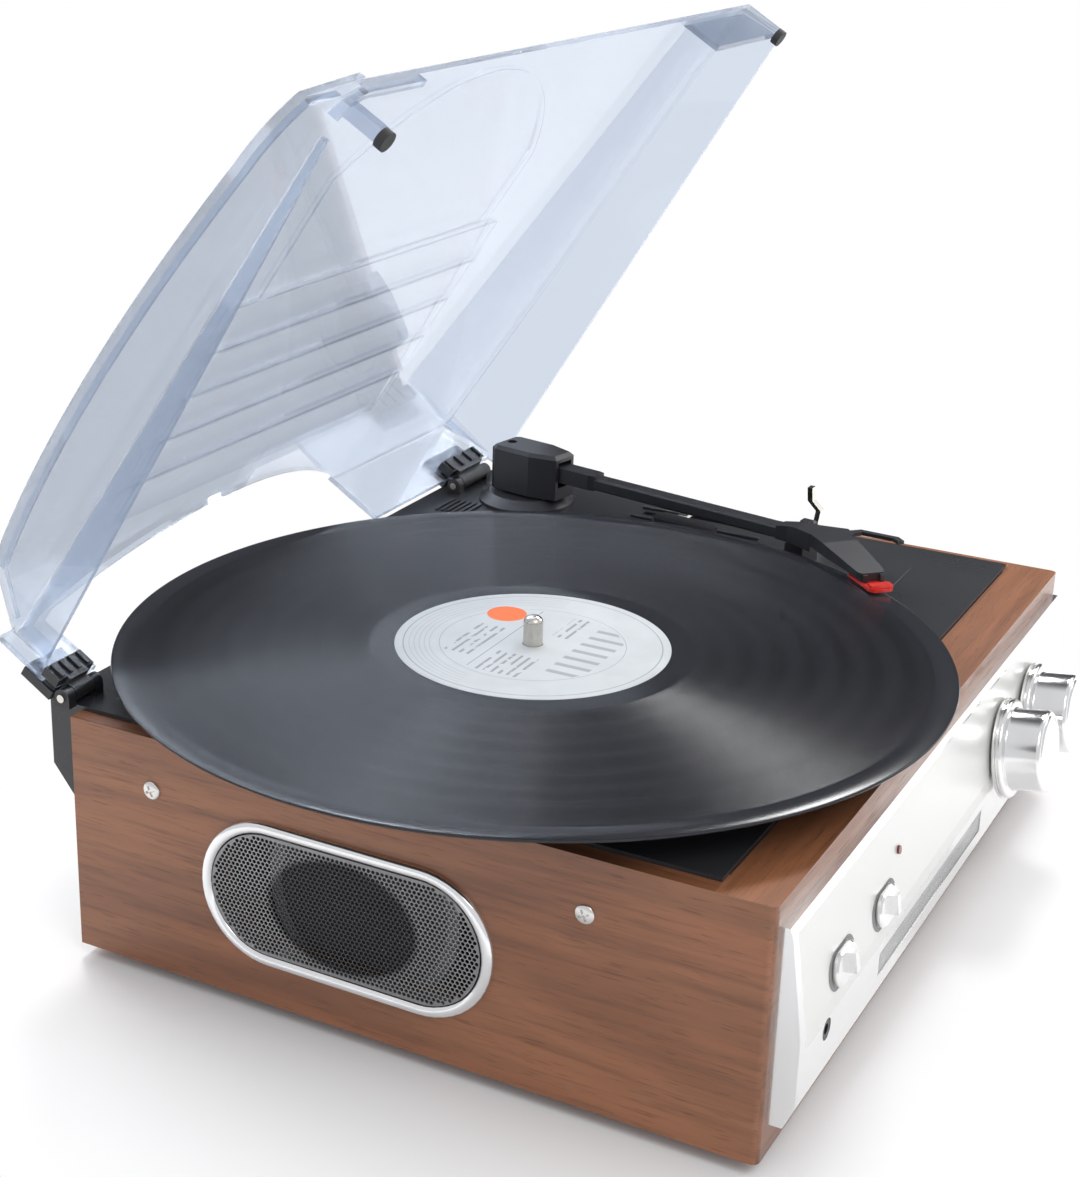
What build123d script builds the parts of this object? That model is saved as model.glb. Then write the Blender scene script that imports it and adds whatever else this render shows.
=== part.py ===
from build123d import *
from math import atan, cos, degrees, radians, sin, sqrt, tan
import os

# Millimetres, +Z up, front panel towards -Y. The origin lies on the spindle axis, level with the
# top of a record on the mat, so heights of the arm and the lid read from the playing surface.

# Cabinet
cabinet_width = 330.0
cabinet_height = 89.5
side_panel_depth = 240.2
front_block_depth = 19.6
side_thickness = 12.0
spindle_to_left_face = 110.7
spindle_to_front_face = 136.7
record_above_cabinet = 14.8
block_edge_radius = 2.5
base_thickness = 3.0
rear_panel_thickness = 3.0
foot_radius = 9.0
foot_height = 5.0
foot_inset = 24.0
fit = 0.3

# Deck plate
deck_rim = 6.5
deck_flange = 1.5
deck_thickness = 3.5
deck_overhang = 14.0
deck_skirt_drop = 23.7
deck_skirt_height = 37.7
deck_wall = 2.5
well_radius = 96.0
well_depth = 7.2
well_floor = 2.5
well_wall = 2.2

# Record, mat, platter and spindle
record_radius = 150.8
record_thickness = 1.5
label_radius = 50.0
label_thickness = 0.15
record_hole_radius = 3.7
mat_thickness = 2.0
mat_radius = 92.0
label_relief = 0.3
platter_radius = 93.0
platter_top = 3.0
platter_skirt = 15.0
platter_wall = 3.0
drive_ring_radius = 62.0
hub_radius = 12.0
spindle_radius = 3.575
spindle_shank_radius = 3.0
spindle_above_record = 11.2
spindle_length = 44.0
bush_radius = 8.0
bush_length = 18.0
running_clearance = 0.08

# Motor drive
pulley_radius = 5.0
pulley_from_spindle = 80.0
pulley_height = 8.0
motor_radius = 14.0
motor_length = 22.0
motor_shaft_radius = 1.0
belt_thickness = 0.8
belt_width = 4.0

# Front fascia
fascia_inset = 5.2
fascia_top_drop = 8.6
fascia_height = 68.4
fascia_wall = 2.0
fascia_lip = 2.6
slant_start_depth = 3.6
slant_start_drop = 2.2
slant_depth = 8.6
slant_drop = 36.6
fascia_foot_depth = 5.2
fascia_foot_rise = 7.8

# Knobs, switches, dial and headphone socket
knob_drop = 39.7
volume_knob_x = 120.0
tuning_knob_x = 160.5
knob_gap = 0.8
knob_flange_radius = 19.5
knob_flange_thickness = 4.2
knob_radius = 15.8
knob_length = 18.6
knob_dome = 2.2
shaft_radius = 3.0
shaft_reach = 14.0
control_body_radius = 8.5
control_front = 9.0
switch_drop = 38.2
function_switch_x = -67.0
band_switch_x = -25.0
switch_cap = (19.0, 11.5, 1.8)
switch_slot = (13.0, 5.0)
switch_stem = (6.0, 4.4)
dial_left_x = -28.0
dial_length = 122.0
dial_height = 9.0
dial_drop = 59.4
dial_plate_thickness = 1.0
pointer_width = 1.4
pointer_thickness = 0.8
socket_x = -80.0
socket_drop = 54.8
socket_radius = 3.6
socket_bore_radius = 1.8
socket_depth = 13.0
board_thickness = 1.6
board_behind_front = 12.2
window_inset = 13.0
window_top_drop = 7.0
window_bottom = 17.0
led_x = -8.0
led_drop = 26.0
led_radius = 1.5

# Speakers
speaker_y = 11.5
speaker_drop = 46.4
bezel_length = 113.0
bezel_height = 54.5
bezel_ring = 4.5
bezel_proud = 2.5
bezel_sleeve_wall = 1.5
bezel_sleeve_depth = 6.0
grille_thickness = 0.8
grille_recess = 0.9
grille_pitch = 8.6
grille_hole = 6.4
driver_radius = 37.0
driver_flange = 2.0
cone_radius = 31.0
cone_depth = 12.0
cone_wall = 0.8
dust_cap_radius = 10.0
magnet_radius = 21.0
magnet_length = 12.0
screw_head_radius = 3.4
screw_head_height = 1.4
screw_shank_radius = 1.6
screw_length = 14.0
screw_spread = 82.2
screw_centre_y = 6.6
screw_drop = 19.6

# Tonearm, seen from its pivot along the parked tube
pivot_x = 181.0
pivot_y = 95.0
arm_angle = 10.8
arm_base_radius = 21.5
arm_base_height = 5.0
arm_post_radius = 6.0
turret_top = 12.8
turret_bottom = -7.4
turret_rear = 14.0
turret_front = 21.0
turret_half_width = 10.0
turret_slot = 9.4
arm_hub_width = 8.8
arm_bottom = 1.0
arm_height = 6.2
arm_tube_width = 7.4
neck_length = 40.0
bend_distance = 151.0
bend_offset = 1.7
head_angle = 44.4
head_length = 46.0
head_half_width = 7.6
head_top = 8.6
head_front_top = 5.6
head_skirt_bottom = 3.4
pivot_pin_radius = 1.2
pivot_pin_height = 3.0
stylus_length = 20.0
stylus_half_width = 5.2
stylus_reach = 9.6
stylus_bottom = 0.9
stylus_tip = 0.4

# Arm rest, cue lever, lift bar and speed selector
rest_distance = 142.5
rest_length = 8.5
rest_wall = 3.0
rest_wall_top = 9.0
cue_lever_x = 201.6
cue_lever_y = -35.0
cue_lever_width = 4.0
cue_lever_stroke = 2.2
cue_pivot_drop = 8.0
lift_bar_distance = 86.0
lift_bar_length = 30.0
lift_travel = 4.0
selector_x = 193.0
selector_y = 22.0
selector_travel = 16.0

# Lid, given closed: its underside slopes down to the front
lid_open_angle = 58.5
hinge_y = 128.0
hinge_z = -9.7
lid_wall = 2.4
lid_slope = 0.055
lid_under_at_spindle = 12.9
lid_rim_z = -10.1
lid_right_rim_x = 216.5
lid_wall_lean = 7.0
lid_front_y = -116.0
lid_left_bend_x = -100.5
lid_left_rim_z = 5.1
wing_reach_x = -153.0
wing_lip = 2.4
slat_count = 5
slat_pitch = 21.0
slat_length = 178.0
slat_height = 1.4
arch_height = 0.7
bumper_radius = 3.4
left_clip = (-109.0, -90.0)
right_clip = (172.0, 202.0)
hinge_pin_radius = 1.5
knuckle_radius = 3.3
lug_thickness = 4.0

# Places worked out from the sizes above
left = -spindle_to_left_face
right = left + cabinet_width
middle_x = (left + right) / 2
front = -spindle_to_front_face
seam = front + front_block_depth
back = seam + side_panel_depth
top = -record_above_cabinet
bottom = top - cabinet_height
deck_top = top + deck_flange
deck_left = left + deck_rim
deck_right = right - deck_rim
deck_back = back + deck_overhang
well_z = deck_top - well_depth
slant_run = slant_depth - slant_start_depth
slant_rise = slant_drop - slant_start_drop
slant_angle = degrees(atan(slant_run / slant_rise))
fascia_top = top - fascia_top_drop
fascia_face = front - slant_depth
board_face = front + board_behind_front

parts = {}


def block(x0, x1, y0, y1, z0, z1):
    """A box given by its limits."""
    centre = Pos((x0 + x1) / 2, (y0 + y1) / 2, (z0 + z1) / 2)
    return centre * Box(x1 - x0, y1 - y0, z1 - z0)


def disc(x, y, z0, z1, radius):
    """An upright cylinder given by its ends."""
    return Pos(x, y, (z0 + z1) / 2) * Cylinder(radius, z1 - z0)


def ring(x, y, z0, z1, outer, inner):
    """An upright tube."""
    return disc(x, y, z0, z1, outer) - disc(x, y, z0, z1, inner)


def rod(x0, x1, y, z, radius):
    """A cylinder along X."""
    return Pos((x0 + x1) / 2, y, z) * Rot(0, 90, 0) * Cylinder(radius, x1 - x0)


def turned(points):
    """A solid turned about Z from (radius, height) points."""
    return revolve(Plane.XZ * make_face(Polyline(*points, close=True)), Axis.Z)


def bar_along_x(points, x0, x1):
    """A prism along X from (y, z) points."""
    face = make_face(Polyline(*[(0, y, z) for y, z in points], close=True))
    return Pos(x0, 0, 0) * extrude(face, x1 - x0, dir=(1, 0, 0))


def plate(points, z0, z1):
    """An upright prism from (x, y) points."""
    face = make_face(Polyline(*[(x, y, z0) for x, y in points], close=True))
    return extrude(face, z1 - z0, dir=(0, 0, 1))


def stadium(length, height, x, depth):
    """A stadium standing in the YZ plane at x, extruded towards +X."""
    sketch = Plane(origin=(x, speaker_y, top - speaker_drop), x_dir=(0, 1, 0), z_dir=(1, 0, 0))
    return extrude(sketch * SlotOverall(length, height), depth)


def panel_height(y):
    """Height of the closed lid's underside at y."""
    return lid_under_at_spindle + lid_slope * y


# Cabinet
def side_panel():
    panel = block(left, left + side_thickness, seam, back, bottom, top)
    opening = stadium(
        bezel_length - 2 * (bezel_ring - bezel_sleeve_wall) + fit,
        bezel_height - 2 * (bezel_ring - bezel_sleeve_wall) + fit,
        left - 1,
        side_thickness + 2,
    )
    panel -= opening
    for y in screw_places():
        panel -= rod(left - 1, left + screw_length, y, top - screw_drop, screw_shank_radius + 0.05)
    return panel


def screw_places():
    return (screw_centre_y - screw_spread, screw_centre_y + screw_spread)


def side_screw(y):
    shank = rod(left, left + side_thickness - 1, y, top - screw_drop, screw_shank_radius)
    head = rod(left - screw_head_height, left, y, top - screw_drop, screw_head_radius)
    return head + shank


def front_block():
    body = block(left, right, front, seam, bottom, top)
    upright = body.edges().filter_by(Axis.Z).group_by(Axis.Y)[0]
    body = fillet(upright, block_edge_radius)
    body -= panel_window(front - 1, seam + 1)
    return body


def panel_window(y0, y1):
    """Opening in the front block behind the fascia."""
    x0 = left + fascia_inset + window_inset
    x1 = right - fascia_inset - window_inset
    return block(x0, x1, y0, y1, bottom + window_bottom, fascia_top - window_top_drop)


def base_panel():
    x0 = left + side_thickness + fit
    x1 = right - side_thickness - fit
    panel = block(x0, x1, seam, back - rear_panel_thickness, bottom, bottom + base_thickness)
    for row in range(7):
        y = 20 + 8 * row
        panel -= block(middle_x - 40, middle_x + 40, y, y + 3, bottom - 1, bottom + base_thickness + 1)
    return panel


def rear_panel():
    x0 = left + side_thickness + fit
    x1 = right - side_thickness - fit
    y0 = back - rear_panel_thickness
    panel = block(x0, x1, y0, back, bottom, top - deck_skirt_height - 0.5)
    for x in rear_socket_places():
        panel -= Pos(x, back, bottom + 22) * Rot(90, 0, 0) * Cylinder(5.2, 20)
    panel -= Pos(right - 60, back, bottom + 22) * Rot(90, 0, 0) * Cylinder(4.2, 20)
    return panel


def rear_socket_places():
    return (left + 60, left + 76)


def rear_socket(x):
    centre = Pos(x, back, bottom + 22) * Rot(90, 0, 0)
    inside = rear_panel_thickness + 9
    shell = centre * Pos(0, 0, inside / 2 - 5) * Cylinder(5.0, inside + 8)
    shell -= centre * Pos(0, 0, -5) * Cylinder(1.6, 14)
    return shell


def cord_gland():
    centre = Pos(right - 60, back, bottom + 22) * Rot(90, 0, 0)
    gland = centre * Pos(0, 0, 3.5) * Cylinder(4.0, 15)
    gland += centre * Pos(0, 0, -2) * Box(12, 12, 4)
    gland -= centre * Cylinder(2.2, 60)
    return gland


def feet():
    places = [
        (x, y)
        for x in (left + foot_inset, right - foot_inset)
        for y in (seam + foot_inset, back - foot_inset)
    ]
    return [
        Pos(x, y, bottom) * Rot(180, 0, 0) * Cone(
            foot_radius, foot_radius - 1, foot_height, align=(Align.CENTER, Align.CENTER, Align.MIN)
        )
        for x, y in places
    ]


def deck_plate():
    inner_left = left + side_thickness + fit
    inner_right = right - side_thickness - fit
    deck = block(deck_left, deck_right, seam + fit, deck_back, top, deck_top)
    deck += block(inner_left, inner_right, seam + fit, back, deck_top - deck_thickness, deck_top)
    y0 = back + fit
    drop = top - deck_skirt_drop
    low = top - deck_skirt_height
    outer = [(y0, top), (deck_back, top), (deck_back, drop), (y0 + 2.5, low), (y0, low)]
    deck += bar_along_x(outer, deck_left, deck_right)
    inner = [
        (y0 - 1, deck_top - deck_thickness),
        (deck_back - deck_wall, deck_top - deck_thickness),
        (deck_back - deck_wall, drop + 1),
        (y0 + 1, low + 2.5),
        (y0 - 1, low + 2.5),
    ]
    deck -= bar_along_x(inner, deck_left + deck_wall, deck_right - deck_wall)
    deck += disc(0, 0, well_z - well_floor, deck_top, well_radius + well_wall)
    deck -= disc(0, 0, well_z, deck_top + 1, well_radius)
    deck -= disc(0, 0, well_z - well_floor - 1, well_z + 1, bush_radius + running_clearance)
    deck -= disc(*pulley_place(), well_z - well_floor - 1, well_z + 1, pulley_radius + 1)
    deck -= disc(pivot_x, pivot_y, deck_top - deck_thickness - 1, deck_top + 1, arm_post_radius + fit)
    x0 = cue_lever_x - cue_lever_width / 2 - 1
    x1 = cue_lever_x + cue_lever_width / 2 + 1
    deck -= block(x0, x1, cue_lever_y - 6, cue_lever_y + 10, deck_top - 9, deck_top + 1)
    y1 = selector_y + selector_travel + 4
    deck -= block(selector_x - 2.4, selector_x + 2.4, selector_y - 4, y1, deck_top - 9, deck_top + 1)
    for x, y in lift_post_places():
        deck -= disc(x, y, deck_top - 9, deck_top + 1, 2.5 + fit)
    return deck


# Record and platter
def record_disc():
    rim = 0.5
    profile = [
        (record_hole_radius, -record_thickness),
        (record_radius - rim, -record_thickness),
        (record_radius, -record_thickness / 2),
        (record_radius - rim, 0),
        (record_hole_radius, 0),
    ]
    return turned(profile)


def record_labels():
    upper = ring(0, 0, 0, label_thickness, label_radius, record_hole_radius)
    z = -record_thickness
    lower = ring(0, 0, z - label_thickness, z, label_radius, record_hole_radius)
    return [upper, lower]


def mat():
    z1 = -record_thickness
    z0 = z1 - mat_thickness
    hole = record_hole_radius + 0.2
    relief = label_radius + 2
    profile = [
        (hole, z0), (mat_radius, z0), (mat_radius, z1),
        (relief, z1), (relief, z1 - label_relief), (hole, z1 - label_relief),
    ]
    return turned(profile)


def platter():
    z1 = -record_thickness - mat_thickness
    z0 = z1 - platter_skirt
    web = z1 - platter_top
    bore = spindle_shank_radius
    ring_in = drive_ring_radius - platter_wall
    inner = platter_radius - platter_wall
    profile = [
        (bore, z1), (platter_radius, z1), (platter_radius, z0),
        (inner, z0), (inner, web), (drive_ring_radius, web), (drive_ring_radius, z0),
        (ring_in, z0), (ring_in, web), (hub_radius, web), (hub_radius, z0), (bore, z0),
    ]
    return turned(profile)


def platter_bottom():
    return -record_thickness - mat_thickness - platter_skirt


def spindle():
    z1 = spindle_above_record
    z0 = z1 - spindle_length
    dome = 2.4
    profile = [
        (0, z0), (spindle_shank_radius, z0), (spindle_shank_radius, 0), (spindle_radius, 0),
        (spindle_radius, z1 - dome), (spindle_radius * 0.6, z1), (0, z1),
    ]
    return turned(profile)


def bearing_bush():
    z1 = platter_bottom() - fit
    bore = spindle_shank_radius + running_clearance
    flange = ring(0, 0, well_z, z1, bush_radius + 4, bore)
    sleeve = ring(0, 0, well_z - bush_length, well_z, bush_radius, bore)
    return flange + sleeve


def pulley_place():
    reach = pulley_from_spindle / sqrt(2)
    return (-reach, reach)


def pulley_bottom():
    return well_z + 0.8


def motor_pulley():
    x, y = pulley_place()
    z0 = pulley_bottom()
    z1 = z0 + pulley_height
    profile = [
        (motor_shaft_radius, z0), (pulley_radius + 0.8, z0), (pulley_radius, z0 + 1.4),
        (pulley_radius, z1 - 1.4), (pulley_radius + 0.8, z1), (motor_shaft_radius, z1),
    ]
    return Pos(x, y, 0) * turned(profile)


def motor_shaft():
    x, y = pulley_place()
    return disc(x, y, well_z - well_floor - 6, pulley_bottom() + pulley_height, motor_shaft_radius)


def motor():
    x, y = pulley_place()
    z1 = well_z - well_floor
    can = disc(x, y, z1 - motor_length, z1, motor_radius)
    can -= disc(x, y, z1 - 8, z1 + 1, motor_shaft_radius + running_clearance)
    return can


def belt():
    x, y = pulley_place()
    gap = 0.3
    big = drive_ring_radius + gap
    small = pulley_radius + gap
    outer = [
        CenterArc((0, 0), big + belt_thickness, 0, 360),
        CenterArc((x, y), small + belt_thickness, 0, 360),
    ]
    inner = [CenterArc((0, 0), big, 0, 360), CenterArc((x, y), small, 0, 360)]
    loop = make_hull(outer) - make_hull(inner)
    z0 = pulley_bottom() + (pulley_height - belt_width) / 2
    return Pos(0, 0, z0) * extrude(loop, belt_width)


# Fascia and controls
def fascia_outline(wall):
    """Outer (wall 0) or inner outline of the fascia's section, as (y, z) points."""
    lower = fascia_top - fascia_height
    return [
        (front, fascia_top - wall),
        (front - fascia_lip + wall, fascia_top - wall),
        (front - slant_start_depth + wall, fascia_top - slant_start_drop),
        (front - slant_depth + wall, fascia_top - slant_drop),
        (front - slant_depth + wall, lower + fascia_foot_rise),
        (front - fascia_foot_depth + wall * 0.6, lower + wall),
        (front, lower + wall),
    ]


def slant_plane(x, drop):
    """Plane on the slanted face, its Z out of the panel."""
    depth = slant_start_depth + slant_run * (drop - fascia_top_drop - slant_start_drop) / slant_rise
    tilt = radians(slant_angle)
    return Plane(origin=(x, front - depth, top - drop), x_dir=(1, 0, 0), z_dir=(0, -cos(tilt), sin(tilt)))


def fascia():
    x0 = left + fascia_inset
    x1 = right - fascia_inset
    body = bar_along_x(fascia_outline(0), x0, x1)
    body -= bar_along_x(fascia_outline(fascia_wall), x0 + fascia_wall, x1 - fascia_wall)
    for x in (volume_knob_x, tuning_knob_x):
        body -= slant_plane(x, knob_drop) * Cylinder(shaft_radius + 0.6, 12)
    for x in (function_switch_x, band_switch_x):
        body -= slant_plane(x, switch_drop) * Box(*switch_slot, 12)
    body -= slant_plane(led_x, led_drop) * Cylinder(led_radius + 0.05, 12)
    z = top - dial_drop
    body -= block(dial_left_x, dial_left_x + dial_length, fascia_face - 1, front, z - dial_height / 2, z + dial_height / 2)
    body -= Pos(socket_x, fascia_face, top - socket_drop) * Rot(90, 0, 0) * Cylinder(socket_radius + 0.1, 12)
    return body


def up_to_board(shape):
    """The shape cut flush at the control board it is soldered to."""
    return shape - block(left, right, board_face, board_face + 90, bottom, top)


def knob(x):
    z0 = knob_gap
    z1 = z0 + knob_flange_thickness
    z2 = knob_length
    r = knob_flange_radius
    bore = shaft_radius + 0.05
    depth = 12.0
    profile = [
        (bore, z0), (r, z0), (r, z1 - 1.0), (r - 1.4, z1), (knob_radius, z1),
        (knob_radius, z2 - 1.2), (knob_radius - 1.8, z2), (0, z2 + knob_dome), (0, depth), (bore, depth),
    ]
    return slant_plane(x, knob_drop) * turned(profile)


def knob_shaft(x):
    length = shaft_reach + 11.5
    shaft = Pos(0, 0, 11.5 - length / 2) * Cylinder(shaft_radius, length)
    return slant_plane(x, knob_drop) * shaft


def control_body(x):
    can = Pos(0, 0, -control_front - 15) * Cylinder(control_body_radius, 30)
    return up_to_board(slant_plane(x, knob_drop) * (can + control_bush()))


def control_bush():
    length = control_front - fascia_wall
    return Pos(0, 0, -fascia_wall - length / 2) * Cylinder(shaft_radius + 1.5, length)


def shaft_bore(x):
    return slant_plane(x, knob_drop) * Pos(0, 0, -shaft_reach / 2 - 0.15) * Cylinder(
        shaft_radius + running_clearance, shaft_reach + 0.3
    )


def tuning_gang():
    body = Pos(0, 0, -control_front - 15) * Box(20, 20, 30)
    return up_to_board(slant_plane(tuning_knob_x, knob_drop) * (body + control_bush()))


def switch_button(x):
    length, height, thickness = switch_cap
    plane = slant_plane(x, switch_drop)
    outline = extrude(SlotOverall(length, height), thickness)
    cap = Pos(0, 0, 0.4) * chamfer(outline.edges().group_by(Axis.Z)[-1], 0.6)
    rib = Pos(2, 0, 0.4 + thickness + 1.2) * Box(3.0, 7.0, 2.4)
    stem = Pos(-2, 0, -3.6) * Box(*switch_stem, 8.0)
    return plane * (cap + rib + stem)


def switch_body(x):
    plane = slant_plane(x, switch_drop)
    shell = Pos(-1, 0, -17) * Box(22, 9, 25)
    track = Pos(0, 0, -6) * Box(switch_slot[0], switch_slot[1], 4)
    frame = Pos(-1, 0, -3.4) * Box(22, 9, 2.4) - Pos(0, 0, -3.4) * Box(switch_slot[0], switch_slot[1], 4)
    return up_to_board(plane * (shell - track + frame))


def dial_window():
    z = top - dial_drop
    x1 = dial_left_x + dial_length
    y0 = fascia_face + 0.2
    return block(dial_left_x, x1, y0, fascia_face + fascia_wall, z - dial_height / 2, z + dial_height / 2)


def dial_scale():
    z = top - dial_drop
    y1 = front - 1.6
    plate_height = dial_height + 6
    x0 = dial_left_x - 4
    x1 = dial_left_x + dial_length + 4
    scale = block(x0, x1, y1 - dial_plate_thickness, y1, z - plate_height / 2, z + plate_height / 2)
    for x in (x0 + 2, x1 - 2):
        scale += block(x - 2, x + 2, y1, board_face, z - 4, z + 4)
    return scale


def dial_pointer():
    z = top - dial_drop
    x = dial_left_x + dial_length / 2
    y1 = front - 1.6 - dial_plate_thickness - 0.3
    needle = block(x - pointer_width / 2, x + pointer_width / 2, y1 - pointer_thickness, y1, z - 4, z + 9)
    saddle = block(x - 4, x + 4, y1 - pointer_thickness, y1 + dial_plate_thickness + 0.6, z + 7.8, z + 9)
    return needle + saddle


def headphone_socket():
    centre = Pos(socket_x, fascia_face + 0.2, top - socket_drop) * Rot(90, 0, 0)
    barrel = centre * Pos(0, 0, -socket_depth / 2) * Cylinder(socket_radius, socket_depth)
    shell = centre * Pos(0, 0, -fascia_wall - 15) * Box(11, 11, 30)
    bore = centre * Pos(0, 0, -socket_depth / 2 + 1) * Cylinder(socket_bore_radius, socket_depth + 2)
    return up_to_board(barrel + shell - bore)


def control_board():
    return panel_window(board_face, board_face + board_thickness)


def pilot_lamp():
    lamp = Pos(0, 0, -1.5) * Cylinder(led_radius, 4.6)
    lamp += Pos(0, 0, -14) * Cylinder(led_radius - 0.5, 24)
    return up_to_board(slant_plane(led_x, led_drop) * lamp)


# Electronics inside
def main_board():
    x0 = left + side_thickness + 30
    z0 = bottom + base_thickness + 6
    board = block(x0, x0 + 110, back - 95, back - 15, z0, z0 + board_thickness)
    for x in (x0 + 6, x0 + 104):
        for y in (back - 89, back - 21):
            board += block(x - 3, x + 3, y - 3, y + 3, bottom + base_thickness, z0)
    for n in range(2):
        board += disc(x0 + 30 + 34 * n, back - 40, z0 + board_thickness, z0 + 18, 6)
    board += block(x0 + 20, x0 + 80, back - 70, back - 62, z0 + board_thickness, z0 + 20)
    return board


def transformer():
    x = right - side_thickness - 62
    y = back - 46
    z = bottom + base_thickness
    core = block(x - 24, x + 24, y - 20, y + 20, z, z + 12)
    core += block(x - 24, x + 24, y - 9, y + 9, z, z + 40)
    coil = block(x - 15, x + 15, y - 16, y + 16, z + 12, z + 34)
    return core + coil


# Speakers
def speaker_bezel():
    ring_in = (bezel_length - 2 * bezel_ring, bezel_height - 2 * bezel_ring)
    sleeve = (ring_in[0] + 2 * bezel_sleeve_wall, ring_in[1] + 2 * bezel_sleeve_wall)
    flange = stadium(bezel_length, bezel_height, left - bezel_proud, bezel_proud)
    flange = chamfer(flange.edges().group_by(Axis.X)[0], 1.2)
    body = flange + stadium(*sleeve, left, bezel_sleeve_depth)
    return body - stadium(*ring_in, left - bezel_proud - 1, bezel_sleeve_depth + bezel_proud + 2)


def speaker_grille():
    length = bezel_length - 2 * bezel_ring - 0.2
    height = bezel_height - 2 * bezel_ring - 0.2
    x = left - bezel_proud + grille_recess
    plane = Plane(origin=(x, speaker_y, top - speaker_drop), x_dir=(0, 1, 0), z_dir=(1, 0, 0))
    reach = height / 2 - grille_hole
    straight = (length - height) / 2
    places = []
    for row in range(-4, 5):
        v = row * grille_pitch * sqrt(3) / 2
        shift = 0.5 * (row % 2)
        for column in range(-10, 10):
            u = (column + shift) * grille_pitch
            off = max(abs(u) - straight, 0)
            if off * off + v * v < reach * reach:
                places.append((u, v))
    holes = [Pos(u, v) * Rot(0, 0, 45) * Rectangle(grille_hole, grille_hole) for u, v in places]
    return extrude(plane * (SlotOverall(length, height) - holes), grille_thickness)


def driver_axis():
    inner_face = left + side_thickness
    return Plane(origin=(inner_face, speaker_y, top - speaker_drop), x_dir=(0, 1, 0), z_dir=(1, 0, 0))


def speaker_basket():
    d = driver_flange
    back_radius = magnet_radius - 3
    seat = cone_radius + 1.3 + 0.1
    lip = cone_wall + 0.4
    profile = [
        (seat, 0), (driver_radius, 0), (driver_radius, d), (magnet_radius, cone_depth + 5),
        (magnet_radius, cone_depth + 5 + magnet_length), (0, cone_depth + 5 + magnet_length),
        (0, cone_depth + 3.2), (back_radius, cone_depth + 3.2), (cone_radius - 0.4, lip), (seat, lip),
    ]
    return driver_axis() * turned(profile)


def speaker_cone():
    w = cone_wall
    cap = dust_cap_radius
    edge = cone_radius + 1.3
    profile = [
        (edge, 0.4), (edge, 0.4 + w), (cone_radius - 3, 0.4 + w), (cap, cone_depth + w), (0, cone_depth + w),
        (0, cone_depth - 5), (cap, cone_depth - 1.6), (cone_radius - 3, 0.4),
    ]
    return driver_axis() * turned(profile)


# Tonearm
def arm_frame():
    """X forward along the parked tube from the pivot, Y to its left seen from the pivot."""
    a = radians(arm_angle)
    return Plane(origin=(pivot_x, pivot_y, 0), x_dir=(-sin(a), -cos(a), 0), z_dir=(0, 0, 1))


def head_frame():
    a = radians(arm_angle)
    h = radians(head_angle)
    x = pivot_x - bend_distance * sin(a) + bend_offset * cos(a)
    y = pivot_y - bend_distance * cos(a) - bend_offset * sin(a)
    return Plane(origin=(x, y, 0), x_dir=(-sin(h), -cos(h), 0), z_dir=(0, 0, 1))


def arm_base():
    z0 = deck_top
    z1 = z0 + arm_base_height
    r = arm_base_radius
    profile = [
        (0, deck_top - deck_thickness - 3), (arm_post_radius, deck_top - deck_thickness - 3),
        (arm_post_radius, z0), (r, z0), (r, z0 + 1.6), (r - 4.5, z1), (0, z1),
    ]
    return Pos(pivot_x, pivot_y, 0) * turned(profile)


def arm_turret():
    w = turret_half_width
    outline = [
        (-turret_rear, w - 2), (-turret_rear + 3, w), (8, w), (turret_front, w - 3.5),
        (turret_front, -w + 3.5), (8, -w), (-turret_rear + 3, -w), (-turret_rear, -w + 2),
    ]
    body = plate(outline, turret_bottom, turret_top)
    body = chamfer(body.faces().sort_by(Axis.Z)[-1].edges(), 1.6)
    half = turret_slot / 2
    body -= block(-6.5, turret_front + 1, -half, half, arm_bottom - 3, arm_bottom + arm_height + 2.4)
    body -= Pos(0, 0, pivot_pin_height) * Rot(90, 0, 0) * Cylinder(pivot_pin_radius + 0.02, 2 * w - 3)
    body -= disc(-9, 0, turret_top - 2, turret_top + 1, 2.2)
    return arm_frame() * body


def arm_pivot_pin():
    pin = Pos(0, 0, pivot_pin_height) * Rot(90, 0, 0) * Cylinder(pivot_pin_radius, 2 * turret_half_width - 3)
    return arm_frame() * pin


def tonearm():
    z0 = arm_bottom
    z1 = z0 + arm_height
    tube_half = arm_tube_width / 2
    neck_half = arm_hub_width / 2
    hub = block(-5, 12, -neck_half, neck_half, z0 - 1.5, z1)
    hub = chamfer(hub.edges().filter_by(Axis.Y).group_by(Axis.X)[0], 1.6)
    neck = plate(
        [(12, -neck_half), (neck_length - 3, -neck_half), (neck_length, -tube_half),
         (neck_length, tube_half), (neck_length - 3, neck_half), (12, neck_half)],
        z0 - 0.2, z1 + 0.4,
    )
    tube = block(neck_length, rest_distance - rest_length, -tube_half, tube_half, z0, z1 - 0.6)
    tube = chamfer(tube.edges().filter_by(Axis.X), 1.0)
    body = hub + neck + tube + head_root()
    body -= Pos(0, 0, pivot_pin_height) * Rot(90, 0, 0) * Cylinder(pivot_pin_radius + running_clearance, 30)
    return arm_frame() * body + head_frame() * headshell()


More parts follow.
